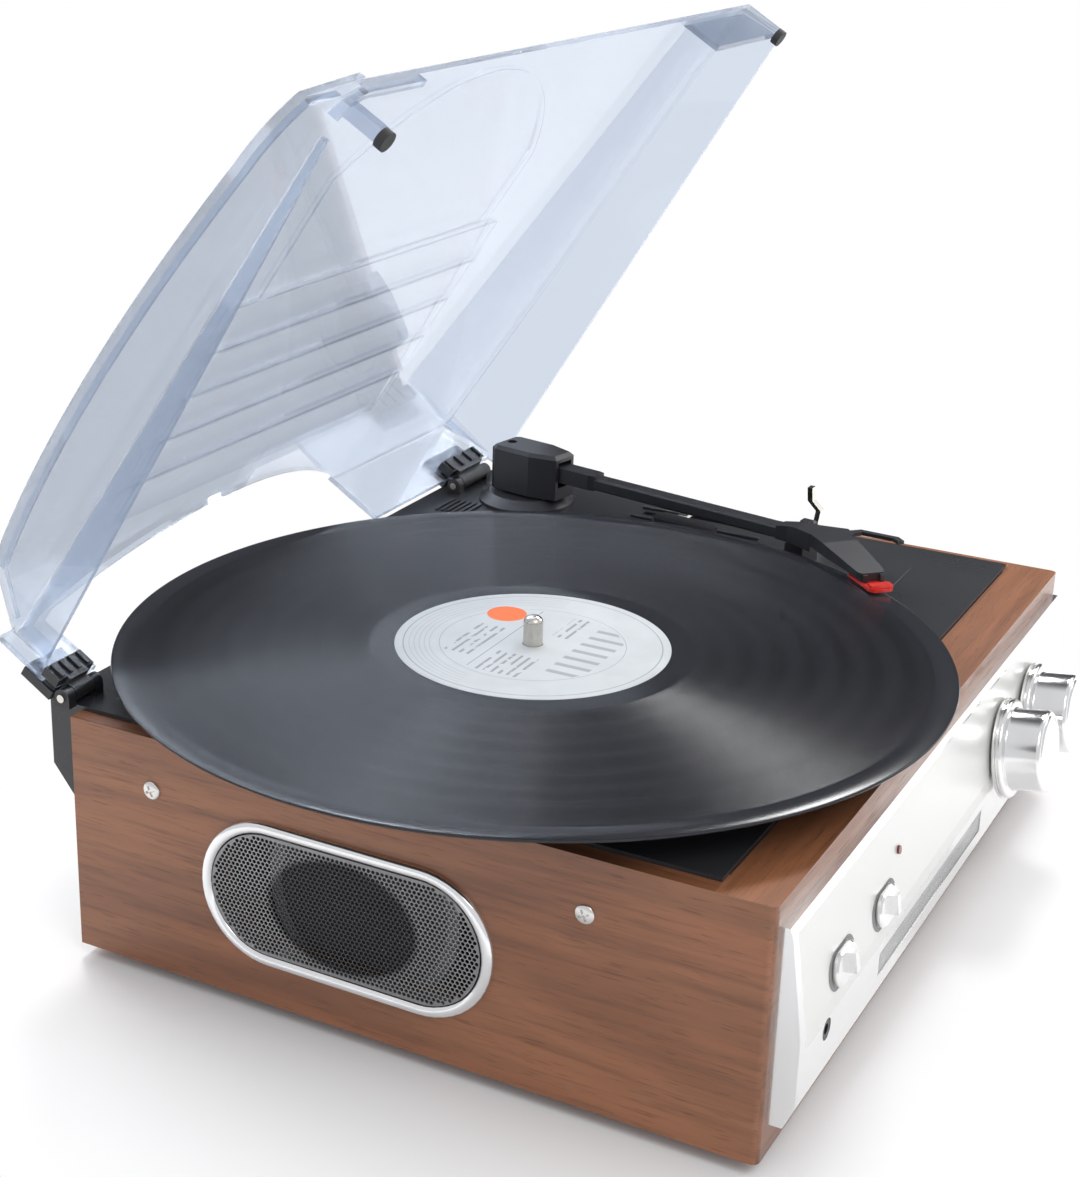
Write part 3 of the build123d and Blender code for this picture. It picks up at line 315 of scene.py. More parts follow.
def lidMaterial():
    # Smoke-blue clear plastic that lets part of the light straight through, with faint handling marks and
    # painted shade where it is seen at a grazing angle.
    # Painted shade on the slats: each step is painted darker towards its rear end, placed by how far back a
    # point lies on the closed lid.
    look = {
        "thin": rgb(0.69, 0.75, 0.85), "thick": rgb(0.72, 0.78, 0.875), "edge": rgb(0.40, 0.45, 0.55),
        "slat": rgb(0.33, 0.38, 0.48), "through": rgb(0.80, 0.84, 0.905), "throughShare": 0.40,
    }
    steps = {
        "hingeY": 128.0, "hingeZ": -9.7, "open": math.radians(58.5), "front": -24.0, "rear": 80.0,
        "pitch": 21.0, "middle": 8.0, "half": 88.0,
    }
    shader = Shader("lidClear")
    cloud = shader.noise(8.0, 2.0, 0.5)
    scratches = shader.noise(300.0, 3.0, 0.6, 0.0, shader.stretched((1.0, 0.05, 0.3))).above(0.66, 0.05)
    tone = shader.mix(cloud.above(0.3, 0.4), look["thin"], look["thick"])
    # Painted shade: the tint darkens where the plastic is seen at a grazing angle
    edge = shader.node("ShaderNodeLayerWeight", "Facing", {"Blend": 0.5}).above(0.55, 0.4)
    tone = shader.mix(edge * 0.7, tone, look["edge"])
    x, y, z = shader.axes()
    closedY = ((y * 1000.0 - steps["hingeY"]) * math.cos(steps["open"])
               - (z * 1000.0 - steps["hingeZ"]) * math.sin(steps["open"]) + steps["hingeY"])
    ramp = ((closedY - steps["front"]) / steps["pitch"]).op("FRACT")
    along = closedY.between(steps["front"], steps["rear"], 0.5)
    within = along * (x * 1000.0 - steps["middle"]).between(-steps["half"], steps["half"], 1.0)
    # Painted shade on the slat steps, darkest at the rear end of each step
    slatShadeAmount = (ramp * ramp * 0.75 + ramp.above(0.90, 0.04) * 0.25) * within
    tone = shader.mix(slatShadeAmount, tone, look["slat"])
    shader.blended(look["throughShare"], "ShaderNodeBsdfTransparent", look["through"])
    return shader.set(
        color=tone, rough=cloud * 0.02 + 0.02 + scratches * 0.03, clear=1.0, ior=1.42,
        normal=shader.bump(cloud + scratches * 0.1, 0.08, 0.0002),
    )


def fasciaMaterial():
    # Bright silver moulding with a flat warm-grey field on its slanted face
    field = {"left": -101.0, "right": 209.6, "top": -26.6, "foot": -66.0}
    shader = Shader("fasciaSilver")
    x, y, z = shader.axes()
    inside = (x * 1000.0).between(field["left"], field["right"], 0.1)
    inside = inside * (z * 1000.0).between(field["foot"], field["top"], 0.1)
    cloud = shader.noise(22.0, 3.0, 0.6)
    fine = shader.noise(1400.0, 2.0, 0.5)
    marks = shader.noise(150.0, 4.0, 0.7, 0.8).above(0.6, 0.15)
    silver = shader.mix(cloud.above(0.4, 0.4), rgb(0.84, 0.84, 0.83), rgb(0.78, 0.78, 0.77))
    return shader.set(
        color=shader.mix(inside, silver, rgb(0.74, 0.735, 0.705)), metal=0.9 - inside * 0.55,
        rough=inside * 0.14 + 0.13 + cloud * 0.04 + marks * 0.04,
        normal=shader.bump(fine - inside * 2.0, 0.05, 0.00003),
    )


def grilleMaterial():
    # Silvery mesh that darkens over the round opening of the driver
    spot = {"wide": 29.0, "tall": 20.5}
    shader = Shader("grilleMesh")
    x, y, z = shader.axes()
    u = (y * 1000.0 - cabinet["speakerY"]) / spot["wide"]
    v = (z * 1000.0 - cabinet["speakerZ"]) / spot["tall"]
    outside = (u * u + v * v).op("SQRT").above(0.94, 0.1)
    cloud = shader.noise(40.0, 3.0, 0.6)
    fine = shader.noise(1500.0, 2.0, 0.5)
    silver = shader.mix(cloud, rgb(0.20, 0.20, 0.20), rgb(0.30, 0.30, 0.30))
    return shader.set(
        color=shader.mix(outside, rgb(0.030, 0.030, 0.032), silver), metal=outside * 0.6,
        rough=cloud * 0.08 + 0.32, normal=shader.bump(fine, 0.1, 0.00002),
    )


def clearMaterial(name, color):
    shader = Shader(name)
    cloud = shader.noise(30.0, 2.0, 0.5)
    return shader.set(
        color=color, rough=cloud * 0.03 + 0.03, clear=0.9, ior=1.45, normal=shader.bump(cloud, 0.03, 0.0001)
    )


def boardMaterial():
    # Green circuit board with dull tracks
    shader = Shader("circuitBoard")
    cells = shader.node("ShaderNodeTexVoronoi", 0, {"Vector": shader.coords, "Scale": 160.0}, feature="F1")
    tracks = cells.above(0.45, 0.1)
    tone = shader.mix(tracks, rgb(0.02, 0.12, 0.05), rgb(0.05, 0.22, 0.09))
    return shader.set(color=tone, rough=tracks * 0.1 + 0.35, normal=shader.bump(tracks, 0.4, 0.0001))


looks = {
    "woodY": woodMaterial("walnutAlongY", 1),
    "woodX": woodMaterial("walnutAlongX", 0, 1),
    "backBoard": plasticMaterial("blackFibreboard", rgb(0.05, 0.038, 0.03), 0.65, 400.0, 0.00012),
    "deck": plasticMaterial("deckPlastic", rgb(0.024, 0.025, 0.028), 0.27, 1500.0, 0.00003),
    "arm": plasticMaterial("armPlastic", rgb(0.020, 0.020, 0.023), 0.36, 1800.0, 0.00003),
    "hinge": plasticMaterial("hingePlastic", rgb(0.014, 0.014, 0.016), 0.38, 1200.0, 0.00004),
    "rubber": plasticMaterial("blackRubber", rgb(0.025, 0.025, 0.026), 0.62, 900.0, 0.00008),
    "red": plasticMaterial("redPlastic", rgb(0.62, 0.022, 0.014), 0.26, 900.0, 0.00002, 0.3),
    "white": plasticMaterial("whiteScale", rgb(0.86, 0.865, 0.85), 0.45, 900.0, 0.00003),
    "cone": plasticMaterial("conePaper", rgb(0.030, 0.030, 0.032), 0.55, 700.0, 0.00012),
    "magnet": plasticMaterial("greyPaintedMetal", rgb(0.20, 0.20, 0.21), 0.42, 800.0, 0.00004),
    "grille": grilleMaterial(),
    "lamp": plasticMaterial("lampRed", rgb(0.16, 0.012, 0.010), 0.2, 900.0, 0.00001, 0.4),
    "ink": plasticMaterial("scaleInk", rgb(0.03, 0.03, 0.035), 0.5, 900.0, 0.00001),
    # Grey painted shade for the slide switch grooves
    "groove": plasticMaterial("grooveShade", rgb(0.22, 0.22, 0.22), 0.5, 900.0, 0.00001),
    "silver": fasciaMaterial(),
    "chrome": metalMaterial("bezelChrome", rgb(0.86, 0.86, 0.86), 0.12),
    "knob": metalMaterial("knobAluminium", rgb(0.83, 0.83, 0.82), 0.16),
    "steel": metalMaterial("polishedSteel", rgb(0.64, 0.61, 0.56), 0.20),
    "screw": metalMaterial("screwSteel", rgb(0.72, 0.70, 0.67), 0.24),
    "brass": metalMaterial("bushBrass", rgb(0.72, 0.55, 0.25), 0.25),
    "vinyl": vinylMaterial(),
    "label": labelMaterial(),
    "lid": lidMaterial(),
    "window": clearMaterial("windowClear", rgb(0.96, 0.97, 0.975)),
    "board": boardMaterial(),
}
print("materials made")

nodeLooks = {
    "woodY": ("side_panel_left", "side_panel_right"),
    "woodX": ("front_block",),
    "backBoard": ("base_panel", "rear_panel"),
    "deck": ("deck_plate", "platter"),
    "arm": ("arm_base", "arm_turret", "tonearm", "finger_lift", "cartridge", "arm_rest", "lift_bar"),
    "hinge": ("hinge_clips", "hinge_brackets", "cord_gland", "cue_bracket", "switch_bodies",
              "headphone_socket"),
    "rubber": ("feet", "lid_bumpers", "drive_belt", "mat"),
    "red": ("stylus", "dial_pointer"),
    "lamp": ("pilot_lamp",),
    "white": ("dial_scale",),
    "cone": ("speaker_cones",),
    "magnet": ("speaker_baskets", "motor", "transformer", "volume_control", "tuning_gang"),
    "grille": ("speaker_grilles",),
    "silver": ("fascia",),
    "chrome": ("speaker_bezels", "line_out_sockets"),
    "knob": ("volume_knob", "tuning_knob", "function_switch_button", "band_switch_button"),
    "steel": ("spindle", "motor_shaft", "volume_shaft", "tuning_shaft", "cue_lever", "speed_selector",
              "hinge_pins", "arm_pivot_pin"),
    "screw": ("side_screws",),
    "brass": ("bearing_bush", "motor_pulley"),
    "vinyl": ("record_disc",),
    "label": ("record_labels",),
    "lid": ("lid",),
    "window": ("dial_window",),
    "board": ("control_board", "main_board"),
}


def smoothed(obj, bevel):
    # Smooth shading, and a small bevel in millimetres where it isn't 0
    for polygon in obj.data.polygons:
        polygon.use_smooth = True
    if bevel:
        edge = obj.modifiers.new("edges", "BEVEL")
        edge.width = bevel * mm
        edge.segments = 2
        edge.limit_method = "ANGLE"
        edge.angle_limit = math.radians(35.0)
        edge.use_clamp_overlap = True


def meshObject(name, verts, faces, material, smooth=True):
    mesh = bpy.data.meshes.new(name)
    mesh.from_pydata(verts, [], faces)
    mesh.validate()
    mesh.update()
    obj = bpy.data.objects.new(name, mesh)
    bpy.context.scene.collection.objects.link(obj)
    mesh.materials.append(material)
    if smooth:
        for polygon in mesh.polygons:
            polygon.use_smooth = True
        mesh.set_sharp_from_angle(angle=math.radians(40.0))
    return obj


def lathe(name, profile, material, segments, place=None):
    # Closed solid turned about Z from (radius, height) points in millimetres, then placed
    verts = []
    rings = []
    for radius, height in profile:
        if radius < 1e-6:
            rings.append([len(verts)])
            verts.append((0.0, 0.0, height * mm))
            continue
        rings.append(list(range(len(verts), len(verts) + segments)))
        for step in range(segments):
            turn = 2 * math.pi * step / segments
            verts.append((radius * mm * math.cos(turn), radius * mm * math.sin(turn), height * mm))
    faces = []
    count = len(rings)
    for index in range(count):
        first = rings[index]
        second = rings[(index + 1) % count]
        if len(first) == 1 and len(second) == 1:
            continue
        for step in range(segments):
            after = (step + 1) % segments
            if len(first) == 1:
                faces.append((first[0], second[after], second[step]))
            elif len(second) == 1:
                faces.append((first[step], first[after], second[0]))
            else:
                faces.append((first[step], first[after], second[after], second[step]))
    if place is not None:
        verts = [tuple(place @ Vector(vert)) for vert in verts]
    return meshObject(name, verts, faces, material)


def slantPlace(x, drop):
    # Matrix whose Z leaves the panel's slanted face at x, drop millimetres below the cabinet's top
    depth = panel["thick"] + panel["lean"] * (drop - panel["start"]) / panel["height"]
    out = Vector((0.0, -math.cos(slantAngle), math.sin(slantAngle)))
    across = Vector((1.0, 0.0, 0.0))
    up = out.cross(across)
    place = Matrix((across, up, out)).transposed().to_4x4()
    place.translation = Vector((x, panel["frontY"] - depth, cabinet["top"] - drop)) * mm
    return place


def wound(face, side):
    # Turns a face outwards on either side of the cabinet
    return face if side > 0 else face[::-1]


def sideFace(side):
    return cabinet["leftFace"] if side < 0 else cabinet["rightFace"]


def stadiumPoints(length, height):
    # Closed outline of a stadium lying along the first axis, in millimetres
    steps = 24
    radius = height / 2
    straight = length / 2 - radius
    points = []
    for side, start in ((1, -90.0), (-1, 90.0)):
        for step in range(steps + 1):
            turn = math.radians(start + 180.0 * step / steps)
            points.append((side * straight + radius * math.cos(turn), radius * math.sin(turn)))
    return points


def speakerBezel(name, side):
    # Rounded chrome ring round the grille, swept along the stadium
    size = {
        "length": 113.0, "height": 54.5, "ring": 4.5, "proud": 2.5, "sleeve": 5.8, "wall": 1.3, "steps": 12,
    }
    section = []
    for step in range(size["steps"] + 1):
        turn = math.pi * step / size["steps"]
        section.append((size["ring"] / 2 * (1 - math.cos(turn)), size["proud"] * math.sin(turn) ** 0.7))
    inner = size["ring"] - size["wall"]
    section += [(size["ring"], -size["sleeve"]), (inner, -size["sleeve"]), (inner, 0.0)]
    rings = []
    for inset, lift in section:
        outline = stadiumPoints(size["length"] - 2 * inset, size["height"] - 2 * inset)
        rings.append([(u, v, lift) for u, v in outline])
    verts = []
    for ring in rings:
        for u, v, lift in ring:
            x = sideFace(side) + side * lift
            verts.append((x * mm, (cabinet["speakerY"] + u) * mm, (cabinet["speakerZ"] + v) * mm))
    faces = []
    around = len(rings[0])
    for index in range(len(rings)):
        near = index * around
        far = (index + 1) % len(rings) * around
        for step in range(around):
            after = (step + 1) % around
            faces.append(wound((near + step, near + after, far + after, far + step), side))
    return meshObject(name, verts, faces, looks["chrome"])


def speakerGrille(name, side):
    # Thin sheet with staggered round holes, one to each hexagonal cell, inside the stadium
    size = {"length": 103.8, "height": 45.3, "pitch": 1.72, "hole": 0.80, "sheet": 0.5, "inset": 1.6}
    pitch = size["pitch"]
    radius = size["height"] / 2
    straight = size["length"] / 2 - radius
    rowStep = pitch * math.sqrt(3) / 2
    cell = pitch / math.sqrt(3)
    bore = pitch * size["hole"] / 2
    verts = []
    faces = []
    front = sideFace(side) + side * size["inset"]
    inward = -side * size["sheet"]

    def add(u, v, depth):
        place = (front + depth, cabinet["speakerY"] + u, cabinet["speakerZ"] + v)
        verts.append(tuple(value * mm for value in place))
        return len(verts) - 1

    def pulledIn(u, v):
        # The point, drawn back to the stadium's edge if it lies outside, and whether it lay inside
        over = max(abs(u) - straight, 0.0)
        reach = math.hypot(over, v)
        if reach <= radius:
            return u, v, True
        scale = radius / reach
        return math.copysign(min(abs(u), straight) + over * scale, u), v * scale, False

    rows = int(radius / rowStep) + 1
    columns = int(size["length"] / 2 / pitch) + 1
    for row in range(-rows, rows + 1):
        for column in range(-columns, columns + 1):
            u = (column + 0.5 * (row % 2)) * pitch
            v = row * rowStep
            outer = []
            kept = 0
            for corner in range(6):
                turn = math.radians(30 + 60 * corner)
                cu, cv, held = pulledIn(u + cell * math.cos(turn), v + cell * math.sin(turn))
                kept += held
                outer.append((cu, cv))
            if kept < 2:
                continue
            rim = [add(cu, cv, 0.0) for cu, cv in outer]
            if kept < 6:
                faces.append(wound(tuple(rim), side))
                continue
            top = []
            bottom = []
            for corner in range(12):
                turn = math.radians(30 + 30 * corner)
                for edge, depth in ((top, 0.0), (bottom, inward)):
                    edge.append(add(u + bore * math.cos(turn), v + bore * math.sin(turn), depth))
            for corner in range(12):
                after = (corner + 1) % 12
                faces.append(wound((top[corner], top[after], bottom[after], bottom[corner]), side))
                near = corner // 2
                far = (rim[(near + 1) % 6],) if corner % 2 else ()
                faces.append(wound((rim[near],) + far + (top[after], top[corner]), side))
    return meshObject(name, verts, faces, looks["grille"], smooth=False)


def knobBody(name, x):
    # Turned aluminium knob: ringed collar, plain barrel, rounded edge and domed cap
    shape = {
        "flange": 19.5, "barrel": 15.8, "gap": 0.8, "collar": 5.0, "length": 18.6, "dome": 1.6, "drop": 39.7,
        "edgeWide": 1.5, "edgeTall": 1.6, "edgeStart": 1.8, "capInset": 2.3, "capSink": 0.1,
    }
    flange, barrel, gap, collar = [shape[key] for key in ("flange", "barrel", "gap", "collar")]
    edgeStart = shape["length"] - shape["edgeStart"]
    capRadius = barrel - shape["capInset"]
    capStart = shape["length"] - shape["capSink"]
    profile = [
        (0.0, gap + 0.2), (flange - 1.0, gap), (flange - 0.2, gap + 0.3), (flange, gap + 0.9),
        (flange - 0.1, 2.2), (flange - 0.8, 2.5), (flange - 0.9, 2.8), (flange - 0.25, 3.1),
        (flange - 0.2, 3.9), (flange - 0.7, 4.6), (flange - 1.6, collar), (barrel + 0.9, collar - 0.1),
        (barrel + 0.3, collar + 0.2), (barrel, collar + 0.9), (barrel, edgeStart),
    ]
    for step in range(1, 6):
        turn = math.radians(90.0 * step / 5)
        inward = shape["edgeWide"] * (math.cos(turn) - 1)
        profile.append((barrel + inward, edgeStart + shape["edgeTall"] * math.sin(turn)))
    profile += [(barrel - 2.0, shape["length"] - 0.45), (capRadius, capStart)]
    for step in range(1, 9):
        share = 1 - step / 8
        profile.append((capRadius * share, capStart + shape["dome"] * (1 - share ** 2)))
    return lathe(name, profile, looks["knob"], 128, slantPlace(x, shape["drop"]))


def bandFaces(around):
    # Quads between two outlines that follow each other in the list of points
    faces = []
    for step in range(around):
        after = (step + 1) % around
        faces.append((step, after, around + after, around + step))
    return faces


def switchRecess(name, x):
    # Grey band painted on the face as the shade of the rounded groove that the slide button sits in; each
    # edge is (length, height, lift)
    groove = {"edges": ((24.0, 13.2, 0.12), (19.2, 11.7, 0.05)), "drop": 38.2}
    place = slantPlace(x, groove["drop"])
    verts = []
    for length, height, lift in groove["edges"]:
        verts += [tuple(place @ (Vector((u, v, lift)) * mm)) for u, v in stadiumPoints(length, height)]
    return meshObject(name, verts, bandFaces(len(verts) // 2), looks["groove"], smooth=False)


def roundedSlab(name, box, corner, material, edge):
    # Upright prism over a rounded rectangle, from (x0, x1, y0, y1, z0, z1) in millimetres
    x0, x1, y0, y1, z0, z1 = box
    outline = []
    for middleX, middleY, start in ((x1 - corner, y1 - corner, 0), (x0 + corner, y1 - corner, 90),
                                    (x0 + corner, y0 + corner, 180), (x1 - corner, y0 + corner, 270)):
        for step in range(7):
            turn = math.radians(start + 15.0 * step)
            outline.append((middleX + corner * math.cos(turn), middleY + corner * math.sin(turn)))
    around = len(outline)
    verts = [(x * mm, y * mm, z * mm) for z in (z0, z1) for x, y in outline]
    faces = bandFaces(around) + [tuple(range(around - 1, -1, -1)), tuple(range(around, 2 * around))]
    obj = meshObject(name, verts, faces, material)
    smoothed(obj, edge)
    return obj


def joined(name, pieces):
    # One object out of several, keeping their evaluated shape
    graph = bpy.context.evaluated_depsgraph_get()
    verts = []
    faces = []
    for piece in pieces:
        made = piece.evaluated_get(graph).to_mesh()
        start = len(verts)
        verts += [tuple(vert.co) for vert in made.vertices]
        faces += [tuple(start + index for index in face.vertices) for face in made.polygons]
        piece.evaluated_get(graph).to_mesh_clear()
    material = pieces[0].data.materials[0]
    for piece in pieces:
        bpy.data.objects.remove(piece)
    return meshObject(name, verts, faces, material)


def dome(radius, start, tall, first=1):
    # Quarter of an ellipse, as (radius, height) points that end on the axis
    points = []
    for step in range(first, 9):
        turn = math.radians(90.0 * step / 8)
        points.append((radius * math.cos(turn) if step < 8 else 0.0, start + tall * math.sin(turn)))
    return points


def screwHead(name, side, y):
    # Pan head with a cross recess, standing on the side panel
    head = {
        "radius": 3.4, "height": 1.4, "rim": 0.35, "sink": 0.2, "z": -34.4,
        "cross": 2.0, "arm": 0.45, "deep": 0.75, "turn": 25.0,
    }
    profile = [(0.0, -head["sink"]), (head["radius"], -head["sink"]), (head["radius"], head["rim"])]
    profile += dome(head["radius"], head["rim"], head["height"] - head["rim"])
    place = Matrix.Translation((sideFace(side) * mm, y * mm, head["z"] * mm))
    place = place @ Matrix.Rotation(side * math.pi / 2, 4, "Y")
    obj = lathe(name, profile, looks["screw"], 48, place)
    for extra in (0.0, 90.0):
        long, wide = head["cross"], head["arm"]
        low, high = head["height"] - head["deep"], head["height"] + 1.0
        corners = [(u * mm, v * mm, w * mm) for w in (low, high) for u, v in
                   ((-long, -wide), (long, -wide), (long, wide), (-long, wide))]
        spin = place @ Matrix.Rotation(math.radians(head["turn"] + extra), 4, "Z")
        sides = [(3, 2, 1, 0), (4, 5, 6, 7), (0, 1, 5, 4), (1, 2, 6, 5), (2, 3, 7, 6), (3, 0, 4, 7)]
        cutter = meshObject("cutter", [tuple(spin @ Vector(corner)) for corner in corners], sides,
                            looks["screw"], smooth=False)
        cut = obj.modifiers.new("recess", "BOOLEAN")
        cut.object = cutter
        cut.solver = "EXACT"
        bpy.context.view_layer.update()
        mesh = bpy.data.meshes.new_from_object(obj.evaluated_get(bpy.context.evaluated_depsgraph_get()))
        obj.modifiers.clear()
        obj.data = mesh
        bpy.data.objects.remove(cutter)
    for polygon in obj.data.polygons:
        polygon.use_smooth = True
    obj.data.set_sharp_from_angle(angle=math.radians(35.0))
    return obj


def ridden(obj, body, *replaced, slot):
    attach(obj, body)
    if replaced:
        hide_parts(*replaced)


# CAD pieces that keep their shape


bevels = {
    "side_panel_left": 0.9, "side_panel_right": 0.9, "front_block": 0.9, "deck_plate": 0.5, "fascia": 0.5,
    "tonearm": 0.5, "arm_turret": 0.5, "arm_rest": 0.4, "finger_lift": 0.3, "hinge_clips": 0.5, "lid": 0.5,
    "cartridge": 0.3, "stylus": 0.25, "cue_lever": 0.4, "speed_selector": 0.3, "lift_bar": 0.4,
    "function_switch_button": 0.3, "band_switch_button": 0.3, "hinge_brackets": 0.3, "rear_panel": 0.3,
}
for look, names in nodeLooks.items():
    for name in names:
        obj = cadNodes[name]
        obj.data.materials.clear()
        obj.data.materials.append(looks[look])
        smoothed(obj, bevels.get(name, 0.0))
        sharp = obj.modifiers.new("normals", "WEIGHTED_NORMAL")
        sharp.keep_sharp = True
        sharp.weight = 80
print("CAD pieces dressed")

# Pieces made here in place of coarse solids

record = {"hole": 3.7, "thick": 1.5, "edge": 150.8, "grooveDeep": 0.08}
hole, under, groove = record["hole"], -record["thick"], -record["grooveDeep"]
recordProfile = [
    (hole, under), (149.9, under), (150.5, -1.25), (record["edge"], -0.8), (150.6, -0.35), (149.8, -0.02),
    (143.0, 0.0), (142.6, groove), (59.4, groove), (58.9, 0.0), (51.0, 0.0), (hole, 0.0),
]
ridden(lathe("recordDisc", recordProfile, looks["vinyl"], 360), "turntable", "record_disc", slot="vinyl")

label = {"radius": 50.0, "thick": 0.15}
labelProfile = [
    (hole, 0.0), (label["radius"], 0.0), (label["radius"], 0.13), (49.7, label["thick"]),
    (hole, label["thick"]),
]
ridden(lathe("recordLabelUpper", labelProfile, looks["label"], 192),
       "turntable", "record_labels", slot="label_paper")
lowerPlace = Matrix.Translation((0.0, 0.0, under * mm)) @ Matrix.Rotation(math.pi, 4, "X")
ridden(lathe("recordLabelLower", labelProfile, looks["label"], 96, lowerPlace),
       "turntable", slot="label_paper")

pin = {"radius": 3.575, "straight": 8.8, "dome": 2.4, "shank": 3.0, "foot": -32.8}
spindleProfile = [(0.0, pin["foot"]), (pin["shank"], pin["foot"]), (pin["shank"], 0.0), (pin["radius"], 0.0)]
spindleProfile += dome(pin["radius"], pin["straight"], pin["dome"], first=0)
ridden(lathe("spindlePin", spindleProfile, looks["steel"], 64), "turntable", "spindle", slot="steel")

# The left piece of each pair stands for the CAD node, the right one rides beside it
for side, word in ((-1, "Left"), (1, "Right")):
    bezelNode = ["speaker_bezels"] if side < 0 else []
    grilleNode = ["speaker_grilles"] if side < 0 else []
    ridden(speakerBezel("speakerBezel" + word, side), "cabinet", *bezelNode, slot="silver")
    ridden(speakerGrille("speakerGrille" + word, side), "cabinet", *grilleNode, slot="grille_black")
ridden(knobBody("volumeKnobTurned", 120.0), "volume knob", "volume_knob", slot="knob_silver")
ridden(knobBody("tuningKnobTurned", 160.5), "tuning knob", "tuning_knob", slot="knob_silver")
for word, x in (("function", -67.0), ("band", -25.0)):
    ridden(switchRecess(word + "SwitchRecess", x), "cabinet", slot="black_plastic")
for side, word in ((-1, "Left"), (1, "Right")):
    for y, end in ((-75.6, "Front"), (88.8, "Rear")):
        screwNode = ["side_screws"] if side < 0 and end == "Front" else []
        ridden(screwHead("screwHead" + word + end, side, y), "cabinet", *screwNode, slot="steel")
print("turned and punched pieces made")

# Small mouldings on the deck

deck = {"top": -13.3, "sink": 0.2}
rib = {"count": 6, "pitch": 2.8, "x": (147.0, 164.0), "y": 108.6, "wide": 1.3, "tall": 0.8}
pad = {"x": (158.0, 192.0), "y": (-84.0, -54.0), "tall": 0.5}
rail = {"inner": (184.6, 188.0), "outer": (198.0, 200.4), "y": (-16.0, 45.0), "tall": 1.3}


def deckSlab(name, x, y, tall, corner, edge=0.25):
    box = x + y + (deck["top"] - deck["sink"], deck["top"] + tall)
    return roundedSlab(name, box, corner, looks["deck"], edge)


ribs = []
for index in range(rib["count"]):
    y = rib["y"] + index * rib["pitch"]
    ribs.append(deckSlab("rib", rib["x"], (y, y + rib["wide"]), rib["tall"], 0.5, 0.0))
ridden(joined("deckRibs", ribs), "cabinet", slot="black_plastic")
ridden(deckSlab("deckPad", pad["x"], pad["y"], pad["tall"], 5.0), "cabinet", slot="black_plastic")
for word in ("Inner", "Outer"):
    slab = deckSlab("selectorRail" + word, rail[word.lower()], rail["y"], rail["tall"], 1.0)
    ridden(slab, "cabinet", slot="black_plastic")
print("deck mouldings made")


def dialMarks():
    # Plain numbers and ticks on the tuning scale
    dial = {
        "left": -20.0, "right": 86.0, "y": -139.45, "z": -74.2,
        "ticks": 21, "tickHalf": 0.15, "tickDrop": 3.6, "long": 2.4, "short": 1.4,
        "numbers": (88, 92, 96, 100, 104, 108), "textSize": 3.2, "textRise": 0.4,
    }
    wide = dial["right"] - dial["left"]
    verts = []
    faces = []
    for index in range(dial["ticks"]):
        x = dial["left"] + wide * index / (dial["ticks"] - 1)
        tall = dial["long"] if index % 4 == 0 else dial["short"]
        start = len(verts)
        for dx, dz in ((-1, 0.0), (1, 0.0), (1, tall), (-1, tall)):
            place = (x + dx * dial["tickHalf"], dial["y"], dial["z"] - dial["tickDrop"] + dz)
            verts.append(tuple(value * mm for value in place))
        faces.append((start, start + 1, start + 2, start + 3))
    ridden(meshObject("dialTicks", verts, faces, looks["ink"], smooth=False), "cabinet", slot="scale_white")
    for index, value in enumerate(dial["numbers"]):
        curve = bpy.data.curves.new("dialNumber", "FONT")
        curve.body = str(value)
        curve.size = dial["textSize"] * mm
        curve.align_x = "CENTER"
        made = bpy.data.objects.new("dialNumberText", curve)
        mesh = bpy.data.meshes.new_from_object(made)
        bpy.data.objects.remove(made)
        x = dial["left"] + wide * index / (len(dial["numbers"]) - 1)
        place = Matrix.Translation(Vector((x, dial["y"], dial["z"] + dial["textRise"])) * mm)
        mesh.transform(place @ Matrix.Rotation(math.pi / 2, 4, "X"))
        mesh.materials.append(looks["ink"])
        obj = bpy.data.objects.new("dialNumber%d" % value, mesh)
        bpy.context.scene.collection.objects.link(obj)
        ridden(obj, "cabinet", slot="scale_white")


dialMarks()


# Floor, light and camera


def floorMaterial():
    # Pale floor that keeps the object's shadow and fades to white to the eye further out, in metres
    fade = {"middle": (0.054, -0.007), "half": (0.165, 0.130), "start": 0.004, "reach": 0.11}
    shader = Shader("paleFloor")
    aside = [((axis - middle).op("ABSOLUTE") - half).op("MAXIMUM", 0.0)
             for axis, middle, half in zip(shader.axes(), fade["middle"], fade["half"])]
    away = (aside[0] * aside[0] + aside[1] * aside[1]).op("SQRT")
    seen = shader.node("ShaderNodeLightPath", "Is Camera Ray", {})
    through = shader.node("ShaderNodeLightPath", "Is Transmission Ray", {})
    share = away.above(fade["start"], fade["reach"]) * seen.op("MAXIMUM", through)
    shader.blended(share, "ShaderNodeEmission", rgb(1.0, 1.0, 1.0))
    grain = shader.noise(3.0, 2.0)
    tone = shader.mix(grain, rgb(0.90, 0.90, 0.90), rgb(0.92, 0.92, 0.92))
    return shader.set(color=tone, rough=0.6, specular=0.2)


room = {
    "floorZ": -109.3, "floorHalf": 4.0, "glow": rgb(0.96, 0.97, 1.0), "glowPower": 0.80,
    "dark": rgb(0.80, 0.88, 1.0), "darkPower": 0.07,
    "darkSide": (0.80, 0.44, 0.41), "darkFrom": 0.45, "darkTo": 0.72,
}
half = room["floorHalf"]
corners = [(x * half, y * half, room["floorZ"] * mm) for x, y in ((-1, -1), (1, -1), (1, 1), (-1, 1))]
floor = meshObject("paleFloorPlane", corners, [(0, 1, 2, 3)], floorMaterial(), smooth=False)

world = bpy.data.worlds.new("paleRoom")
bpy.context.scene.world = world
world.use_nodes = True
tree = world.node_tree
tree.nodes.clear()


def worldNode(kind, inputs, operation=None):
    # A node's inputs are plain values, or outputs of other nodes
    made = tree.nodes.new(kind)
    if operation:
        made.operation = operation
    for key, value in inputs.items():
        if isinstance(value, bpy.types.NodeSocket):
            tree.links.new(value, made.inputs[key])
        else:
            made.inputs[key].default_value = value
    return made


